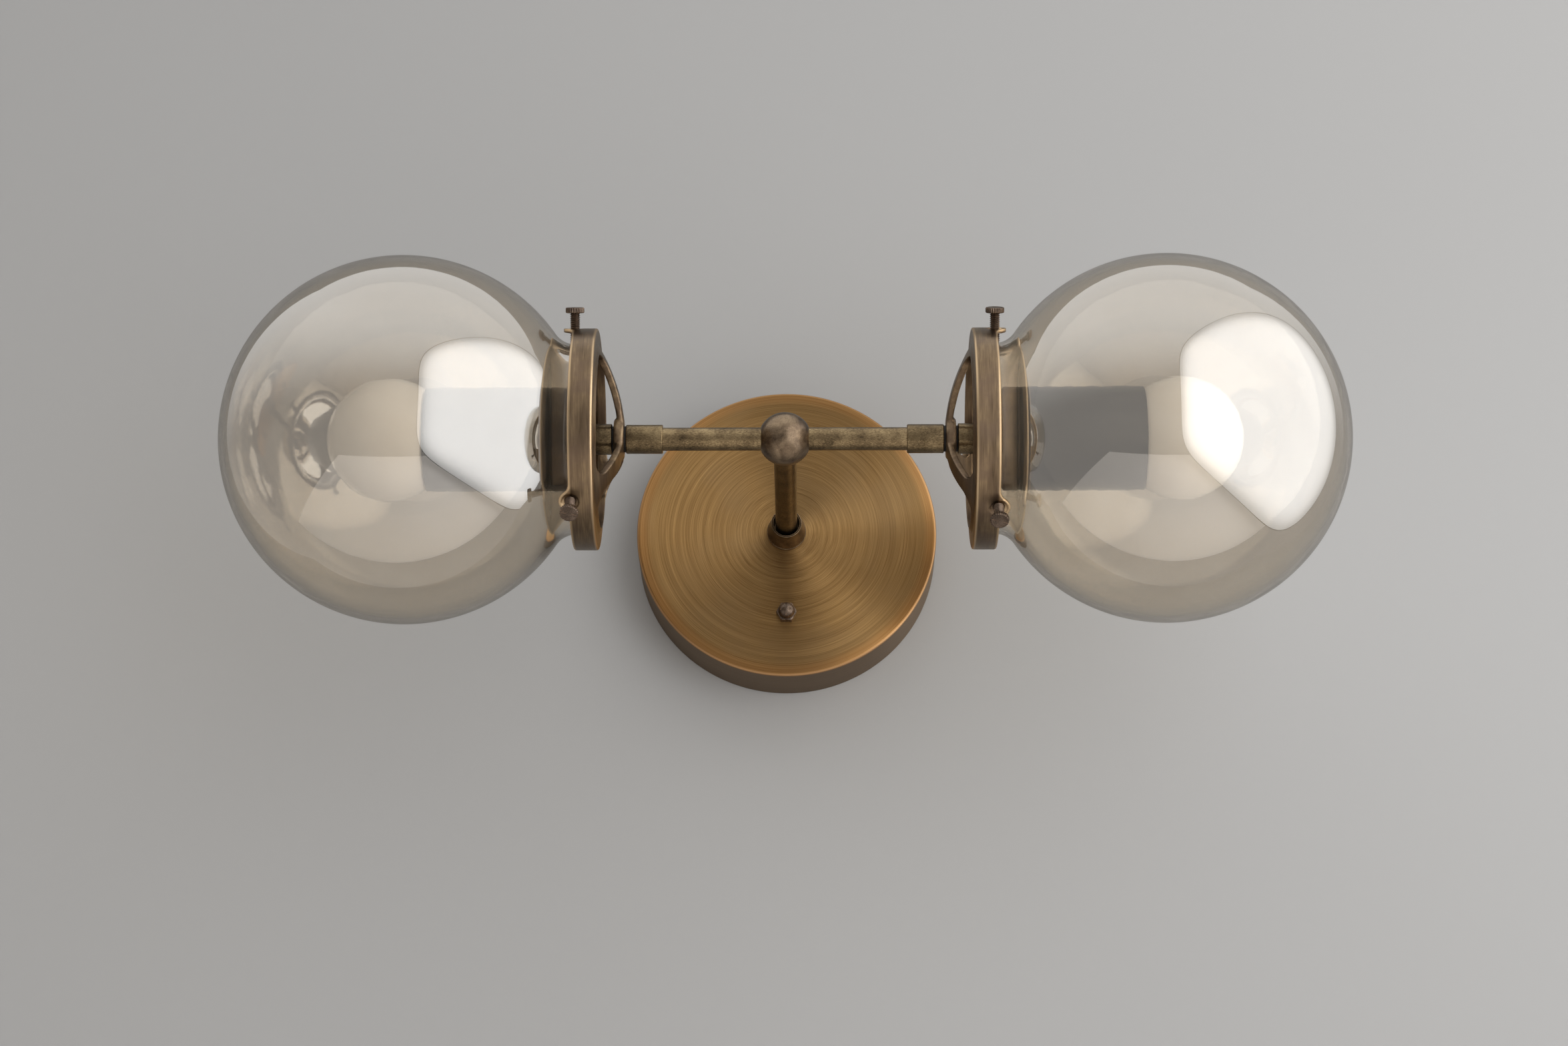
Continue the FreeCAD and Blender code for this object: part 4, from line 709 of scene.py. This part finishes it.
def build_arm_tube(side, material):
    start, end = reach_of(side, "arm_tube")
    piece = tube_between(side + "_arm", ARM_CENTRE, arm_direction(side), start, end)
    return dress(piece, material, "fixture", side + "_arm_tube")


def holder_rim(side):
    """How far out the holder's ring starts and ends, and its radius."""
    mouth = reach_of(side, "shade_holder")[1] - EAR_REACH
    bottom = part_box(side + "_shade_holder")[0].z
    return (mouth - RING_DEPTH, mouth), ARM_CENTRE.z - bottom


def build_holder(side, material):
    """The cast holder: the frame's solid with its edges softened as a casting's are."""
    node = frame["nodes"][side + "_shade_holder"]
    piece = bpy.data.objects.new(side + "_holder", node.data.copy())
    bpy.context.scene.collection.objects.link(piece)
    work = bmesh.new()
    work.from_mesh(piece.data)
    bmesh.ops.remove_doubles(work, verts=work.verts, dist=0.001 * MM)
    work.to_mesh(piece.data)
    work.free()
    remesh = piece.modifiers.new("remesh", "REMESH")
    remesh.mode = "VOXEL"
    remesh.voxel_size = CAST_VOXEL
    soften = piece.modifiers.new("soften", "SMOOTH")
    soften.factor = 0.5
    soften.iterations = CAST_SOFTENING
    applied(piece)
    blend_hub(piece)
    piece.data.shade_smooth()
    return dress(piece, material, "fixture", side + "_shade_holder")


def blend_hub(piece):
    """Fairs the spokes into the hub, as on the casting, and leaves the hub's seats alone."""
    group = piece.vertex_groups.new(name="hub")
    inner, full, past, outer = HUB_BLEND
    for vertex in piece.data.vertices:
        radius = math.hypot(vertex.co.y - ARM_CENTRE.y, vertex.co.z - ARM_CENTRE.z)
        weight = min((radius - inner) / (full - inner), (outer - radius) / (outer - past), 1.0)
        if weight > 0:
            group.add([vertex.index], weight, "REPLACE")
    fair = piece.modifiers.new("fair", "SMOOTH")
    fair.factor = 0.5
    fair.iterations = HUB_FAIRING
    fair.vertex_group = group.name
    applied(piece)


def build_thumb_screw(side, place, material):
    name = side + "_thumb_screw_" + place
    low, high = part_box(name)
    centre = (low + high) / 2
    direction = Vector((0, centre.y - ARM_CENTRE.y, centre.z - ARM_CENTRE.z)).normalized()
    origin = Vector((centre.x, ARM_CENTRE.y, ARM_CENTRE.z))
    reaches = [(vertex.co - ARM_CENTRE).dot(direction) for vertex in frame["nodes"][name].data.vertices]
    top, tip = max(reaches), min(reaches)
    head = top - THUMB_HEAD_THICKNESS
    crest = (high.x - low.x) / 2
    rounding = THUMB_HEAD_ROUNDING

    def knurled(radius, depth):
        return lambda turn: radius - depth * (0.5 - 0.5 * math.cos(KNURL_RIDGES * turn)) ** 0.8

    rows = [(head, 0.0), (head, crest - 1.2 * rounding - KNURL_DEPTH)]
    for step in range(THUMB_EDGE_STEPS + 1):
        turn = math.radians(90 * step / THUMB_EDGE_STEPS)
        radius = crest - rounding * (1 - math.sin(turn))
        rows.append((head + rounding * (1 - math.cos(turn)), knurled(radius, KNURL_DEPTH)))
    for step in range(THUMB_EDGE_STEPS + 1):
        turn = math.radians(90 * (THUMB_EDGE_STEPS - step) / THUMB_EDGE_STEPS)
        radius = crest - rounding * (1 - math.sin(turn))
        depth = KNURL_DEPTH * (0.3 + 0.7 * math.sin(turn))
        rows.append((top - rounding * (1 - math.cos(turn)), knurled(radius, depth)))
    rows += [(top - 0.05 * MM, crest - 1.5 * rounding), (top - 0.1 * MM, crest * 0.45),
             (top - 0.16 * MM, 0.0)]
    knob = turned("knob", origin, direction, rows, KNURL_RIDGES * RIDGE_SEGMENTS, 45)
    shank = threaded_shank(origin, direction, tip, head + 0.1 * MM)
    screw = joined(side + "_thumb_" + place + "_screw", [knob, shank])
    return dress(screw, material, side + "_thumb_" + place, name)


def neck_profile(ball, neck, curve, end, offset, steps):
    """One skin of a necked glass ball, far pole to lip, as (distance from centre, radius) pairs."""
    reach = math.sqrt((ball + curve) ** 2 - (neck + curve) ** 2)
    ball_skin = ball - offset
    bend = curve + offset
    join = math.degrees(math.atan2(neck + curve, reach))
    points = arc((0, 0), ball_skin, 180, join, steps)
    lip_turn = math.degrees(math.asin(min(1.0, max(-1.0, (end - reach) / bend))))
    points += arc((reach, neck + curve), bend, 180 + join, 270 + lip_turn, max(8, steps // 3))[1:]
    return points


def build_globe(side, coated, plain):
    node = side + "_globe"
    low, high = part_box(node)
    radius = (high.z - low.z) / 2
    start, end = reach_of(side, "globe")
    centre = end - radius
    lip = centre - start
    outer = neck_profile(radius, GLOBE_NECK_RADIUS, GLOBE_NECK_CURVE, lip, 0.0, GLOBE_STEPS)
    inner = neck_profile(radius, GLOBE_NECK_RADIUS, GLOBE_NECK_CURVE, lip, GLOBE_WALL, GLOBE_STEPS)
    outer = [(centre - distance, max(reach, 0.0)) for distance, reach in outer]
    inner = [(centre - distance, max(reach, 0.0)) for distance, reach in reversed(inner)]
    outer[0] = (outer[0][0], 0.0)
    inner[-1] = (inner[-1][0], 0.0)
    piece = turned(side + "_glass_globe", ARM_CENTRE, arm_direction(side), outer + inner,
                   GLOBE_SEGMENTS, 50)
    dress(piece, coated, "fixture", node)
    piece.data.materials.append(plain)
    first_inside = 1 + (len(outer) - 1) * GLOBE_SEGMENTS
    for polygon in piece.data.polygons:
        if all(index >= first_inside for index in polygon.vertices):
            polygon.material_index = 1
    return piece


def build_bulb(side, material):
    node = side + "_bulb_glass"
    low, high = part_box(node)
    radius = (high.z - low.z) / 2
    start, end = reach_of(side, "bulb_glass")
    centre = end - radius
    reach = math.sqrt((radius + BULB_NECK_CURVE) ** 2 - (BULB_NECK_RADIUS + BULB_NECK_CURVE) ** 2)
    outer = neck_profile(radius, BULB_NECK_RADIUS, BULB_NECK_CURVE, reach, 0.0, 80)
    inner = neck_profile(radius, BULB_NECK_RADIUS, BULB_NECK_CURVE, reach, BULB_WALL, 40)
    profile = [(centre - distance, max(width, 0.0)) for distance, width in outer]
    profile += [(start, BULB_NECK_RADIUS), (start, BULB_NECK_RADIUS - BULB_WALL)]
    profile += [(centre - distance, max(width, 0.0)) for distance, width in reversed(inner)]
    profile[0] = (profile[0][0], 0.0)
    profile[-1] = (profile[-1][0], 0.0)
    piece = turned(side + "_bulb_globe", ARM_CENTRE, arm_direction(side), profile, 160, 50)
    return dress(piece, material, side + "_bulb", node)


def build_cup(side, material):
    node = side + "_socket_cup"
    low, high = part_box(node)
    radius = (high.z - low.z) / 2
    start, end = reach_of(side, "socket_cup")
    corner, lip, wall = CUP_BACK_RADIUS, CUP_LIP_RADIUS, CUP_WALL
    profile = [(start, TUBE_HOLE_RADIUS)] + arc((start + corner, radius - corner), corner, 180, 90, 6)
    profile += arc((end - lip, radius - lip), lip, 90, 0, 3)
    profile += arc((end - lip, radius - wall + lip), lip, 0, -90, 3)
    profile += arc((start + corner, radius - corner), corner - wall, 90, 180, 5)
    profile.append((start + wall, TUBE_HOLE_RADIUS))
    piece = turned(side + "_cup", ARM_CENTRE, arm_direction(side), profile, 144, 40)
    return dress(piece, material, "fixture", node)


# ---- stage, light and camera ---------------------------------------------------------------------

WALL_GREY = (0.46, 0.46, 0.46)
BOARD_GREY = (0.27, 0.262, 0.25)
FLOOR_WARM = (0.80, 0.765, 0.735)
BOARD_HALF_WIDTH, BOARD_BOTTOM, BOARD_TOP = 0.42, -0.31, 0.49
BACKDROP_GREY = (0.58, 0.58, 0.58)
WALL_RIGHT = 1.05
BOX_RADIUS = 50 * MM
BOX_SIDES = 72
WALL_BACK = 0.4 * MM
WALL_LEFT, WALL_HEIGHT = -3.2, 2.2
BOARD_LIFT = 0.05 * MM
FLOOR_LEVEL = -0.9
FLOOR_SPAN = (-1.3, 1.5, -1.65, -0.001)
KEY_STRENGTH = 1.95
SOFTBOX_PLACE = Vector((1.30, 0.45, -0.85))
SOFTBOX_ALONG = Vector((-1.05, -2.25, 0))
SOFTBOX_UP = Vector((0, 0, 2.0))
SOFTBOX_COLOUR = (1.0, 0.992, 0.98)
SOFTBOX_CORNER = 5.0
CLOTH_END = 0.97
CLOTH_EDGE_GLOW = 0.42
CLOTH_FRAME_END = 1.02
WORLD_LOW = (0.33, 0.315, 0.30)
WORLD_HIGH = (0.95, 0.945, 0.93)
WORLD_RISE = (0.12, 0.90)


def one_sided(name, colour):
    """A stage surface that is there only from its front, so that it hides nothing seen from behind."""
    graph = Graph(name)
    front = graph.add("BsdfDiffuse", {"Color": (*colour, 1.0)})
    behind = graph.add("NewGeometry").outputs["Backfacing"]
    graph.show_either(behind, front, graph.add("BsdfTransparent"))
    return graph.material


def stage_panel(name, points, faces, material):
    mesh = bpy.data.meshes.new(name)
    mesh.from_pydata(points, [], faces)
    mesh.materials.append(material)
    panel = bpy.data.objects.new(name, mesh)
    bpy.context.scene.collection.objects.link(panel)
    return panel


def wall_panel(name, spot, span, material):
    """An upright panel with the round opening of the wiring box, which the canopy covers."""
    left, right, low, high = span
    corners = [math.atan2(z, x) for x in (left, right) for z in (low, high)]
    turns = sorted(corners + [math.pi * (2 * step / BOX_SIDES - 1) for step in range(BOX_SIDES)])
    points = []
    for turn in turns:
        across, up = math.cos(turn), math.sin(turn)
        reach = min(edge / part for part, edges in ((across, span[:2]), (up, span[2:])) for edge in edges
                    if abs(part) > 1e-9 and edge / part > 0)
        points += [(across * BOX_RADIUS, spot, up * BOX_RADIUS), (across * reach, spot, up * reach)]
    count = len(points)
    faces = [(row, row + 1, (row + 3) % count, (row + 2) % count) for row in range(0, count, 2)]
    return stage_panel(name, points, faces, material)


def build_stage():
    """A pale wall and floor; mirrors see only the board of wall next to the sconce, which is darker."""
    wall = one_sided("stage_wall", WALL_GREY)
    board = one_sided("stage_board", BOARD_GREY)
    floor = one_sided("stage_floor", FLOOR_WARM)
    full = wall_panel("wall_wide", WALL_BACK, (WALL_LEFT, WALL_RIGHT, -WALL_HEIGHT, WALL_HEIGHT), wall)
    full.visible_glossy = False
    span = (-BOARD_HALF_WIDTH, BOARD_HALF_WIDTH, BOARD_BOTTOM, BOARD_TOP)
    near = wall_panel("wall_board", WALL_BACK - BOARD_LIFT, span, board)
    near.visible_camera = False
    near.visible_diffuse = False
    near.visible_transmission = False
    near.visible_shadow = False
    left, right, near_edge, far_edge = FLOOR_SPAN
    corners = ((left, near_edge), (right, near_edge), (right, far_edge), (left, far_edge))
    stage_panel("floor", [(x, y, FLOOR_LEVEL) for x, y in corners], [(0, 1, 2, 3)], floor)


def softbox(name, corner, along, up, strength, colour):
    """A lit cloth in a thin dark frame, brightest in its middle. The corner is at its low end."""
    mesh = bpy.data.meshes.new(name)
    points = [corner, corner + along, corner + along + up, corner + up]
    mesh.from_pydata(points, [], [(0, 1, 2, 3)])
    layer = mesh.uv_layers.new(name="cloth")
    for loop, place in zip(layer.data, ((0, 0), (1, 0), (1, 1), (0, 1))):
        loop.uv = place
    graph = Graph(name)
    cloth = graph.add("UVMap").outputs[0]
    cloth = graph.add("VectorMath", {0: cloth, 1: (2, 2, 0), 2: (-1, -1, 0)}, operation="MULTIPLY_ADD")
    parts = graph.add("SeparateXYZ", {0: cloth.outputs[0]}).outputs
    powers = [graph.math("POWER", graph.math("ABSOLUTE", part), SOFTBOX_CORNER) for part in parts[:2]]
    total = graph.math("ADD", powers[0], powers[1])
    glow = graph.level(total, strength, strength * CLOTH_EDGE_GLOW, 0.0, CLOTH_END, smooth=True)
    shown = graph.math("MULTIPLY", glow, graph.math("LESS_THAN", total, CLOTH_END))
    light = graph.add("Emission", {"Color": (*colour, 1.0), "Strength": shown})
    within = graph.math("LESS_THAN", total, CLOTH_FRAME_END)
    facing = graph.math("SUBTRACT", within, graph.add("NewGeometry").outputs["Backfacing"], clamp=True)
    graph.show_either(facing, graph.add("BsdfTransparent"), light)
    mesh.materials.append(graph.material)
    panel = bpy.data.objects.new(name, mesh)
    bpy.context.scene.collection.objects.link(panel)
    panel.visible_camera = False


def build_lights():
    """A large softbox on the right; the world and the pale floor fill in."""
    softbox("key_softbox", SOFTBOX_PLACE, SOFTBOX_ALONG, SOFTBOX_UP, KEY_STRENGTH, SOFTBOX_COLOUR)


def build_world():
    """A pale studio: bright above, dimmer around the camera. The camera itself sees a plain ground."""
    graph = WorldGraph("studio")
    bpy.context.scene.world = graph.world
    rise = graph.add("SeparateXYZ", {0: graph.add("TexCoord").outputs["Generated"]}).outputs["Z"]
    height = graph.level(rise, 0.0, 1.0, *WORLD_RISE, smooth=True)
    lit = graph.add("Background", {"Color": graph.ramp(height, [(0.0, WORLD_LOW), (1.0, WORLD_HIGH)])})
    seen = graph.add("Background", {"Color": (*BACKDROP_GREY, 1.0)})
    graph.show_either(graph.add("LightPath").outputs["Is Camera Ray"], lit, seen)


CAMERA_PLACE = Vector((8.25, -1445.4, -498.7)) * MM
CAMERA_PITCH = math.radians(19.53)
CAMERA_YAW = math.radians(-0.38)
CAMERA_FOCAL_PIXELS = 5062
PHOTO_WIDTH = 2350
SENSOR_WIDTH = 36.0


def build_camera():
    data = bpy.data.cameras.new("photo_camera")
    data.sensor_width = SENSOR_WIDTH
    data.lens = CAMERA_FOCAL_PIXELS / PHOTO_WIDTH * SENSOR_WIDTH
    data.clip_start, data.clip_end = 0.05, 30
    forward = Vector((math.sin(CAMERA_YAW) * math.cos(CAMERA_PITCH),
                      math.cos(CAMERA_YAW) * math.cos(CAMERA_PITCH), math.sin(CAMERA_PITCH)))
    right = forward.cross(Vector((0, 0, 1))).normalized()
    up = right.cross(forward)
    camera = bpy.data.objects.new("photo_camera", data)
    turn = Matrix((right, up, -forward)).transposed().to_4x4()
    camera.matrix_world = Matrix.Translation(CAMERA_PLACE) @ turn
    bpy.context.scene.collection.objects.link(camera)
    bpy.context.scene.camera = camera


# ---- the whole scene -----------------------------------------------------------------------------

def finish_cad_nodes(finishes):
    """Gives every CAD node that still shows the finish of its material slot."""
    for part in frame["record"]["subparts"]:
        node = frame["nodes"][part["node"]]
        node.data.materials.clear()
        node.data.materials.append(finishes[part["material_slot"]])


def build_scene():
    aged = speckled_brass("aged_tube_brass", (0.085, 0.060, 0.034), (0.215, 0.152, 0.082),
                          (0.43, 0.32, 0.175))
    sleeve = speckled_brass("aged_coupling_brass", (0.078, 0.055, 0.031), (0.188, 0.134, 0.072),
                            (0.36, 0.27, 0.148))
    dark = dark_brass()
    enamel = plain_plastic("black_enamel", (0.035, 0.038, 0.042), (0.28, 0.4), 0.2)
    finishes = {
        "brushed_aged_brass": canopy_brass(),
        "aged_brass": aged,
        "dark_brass": dark,
        "zinc_steel": plated_steel("zinc_plated_steel", (0.62, 0.63, 0.62)),
        "black_steel": plated_steel("blackened_steel", (0.045, 0.042, 0.040), (0.4, 0.6)),
        "green_steel": plated_steel("green_plated_steel", (0.10, 0.34, 0.15)),
        "contact_brass": plated_steel("contact_brass", (0.72, 0.53, 0.26)),
        "smoke_glass": lustre_glass("smoke_lustre_outside", True),
        "opal_glass": opal_glass(),
        "bulb_nickel": plated_steel("bulb_nickel", (0.70, 0.70, 0.69), (0.15, 0.3)),
        "black_glass": plain_plastic("vitreous_black", (0.02, 0.02, 0.022), (0.08, 0.18), 0.5),
        "solder": plated_steel("solder", (0.52, 0.52, 0.51), (0.3, 0.5)),
        "black_enamel": enamel,
        "black_phenolic": plain_plastic("black_phenolic", (0.03, 0.028, 0.027), (0.25, 0.4), 0.2),
        "white_plastic": plain_plastic("white_plastic", (0.82, 0.82, 0.79)),
        "black_insulation": plain_plastic("black_insulation", (0.028, 0.028, 0.028)),
        "white_insulation": plain_plastic("white_insulation", (0.80, 0.80, 0.77)),
        "green_insulation": plain_plastic("green_insulation", (0.06, 0.28, 0.09)),
        "connector_plastic": plain_plastic("connector_plastic", (0.70, 0.26, 0.04)),
    }
    finish_cad_nodes(finishes)
    plain_glass = lustre_glass("smoke_glass_inside", False)
    build_canopy(finishes["brushed_aged_brass"])
    build_collar(dark_brass("collar_brass", (1.30, 1.28, 1.05), (0.46, 0.33, 0.205)))
    # The stem gets a darker copy of the arm brass: painted shade, standing in for the dark reflections
    # along the stem.
    build_stem(speckled_brass("shaded_stem_brass", (0.060, 0.044, 0.026), (0.135, 0.100, 0.056),
                              (0.27, 0.205, 0.115)))
    build_ball(polished_ball())
    for place in ("top", "bottom"):
        build_acorn_nut(place, dark)
    for side in SIDES:
        build_arm_tube(side, aged)
        build_sleeve(side, "arm_coupling", sleeve)
        build_sleeve(side, "inner_coupling", sleeve)
        build_holder(side, cast_brass(side))
        for place in THUMB_PLACES:
            build_thumb_screw(side, place, dark)
        build_globe(side, finishes["smoke_glass"], plain_glass)
        build_bulb(side, finishes["opal_glass"])
        build_cup(side, enamel)
    build_stage()
    build_lights()
    build_world()
    build_camera()
    bpy.context.scene.view_settings.view_transform = "Standard"


build_scene()
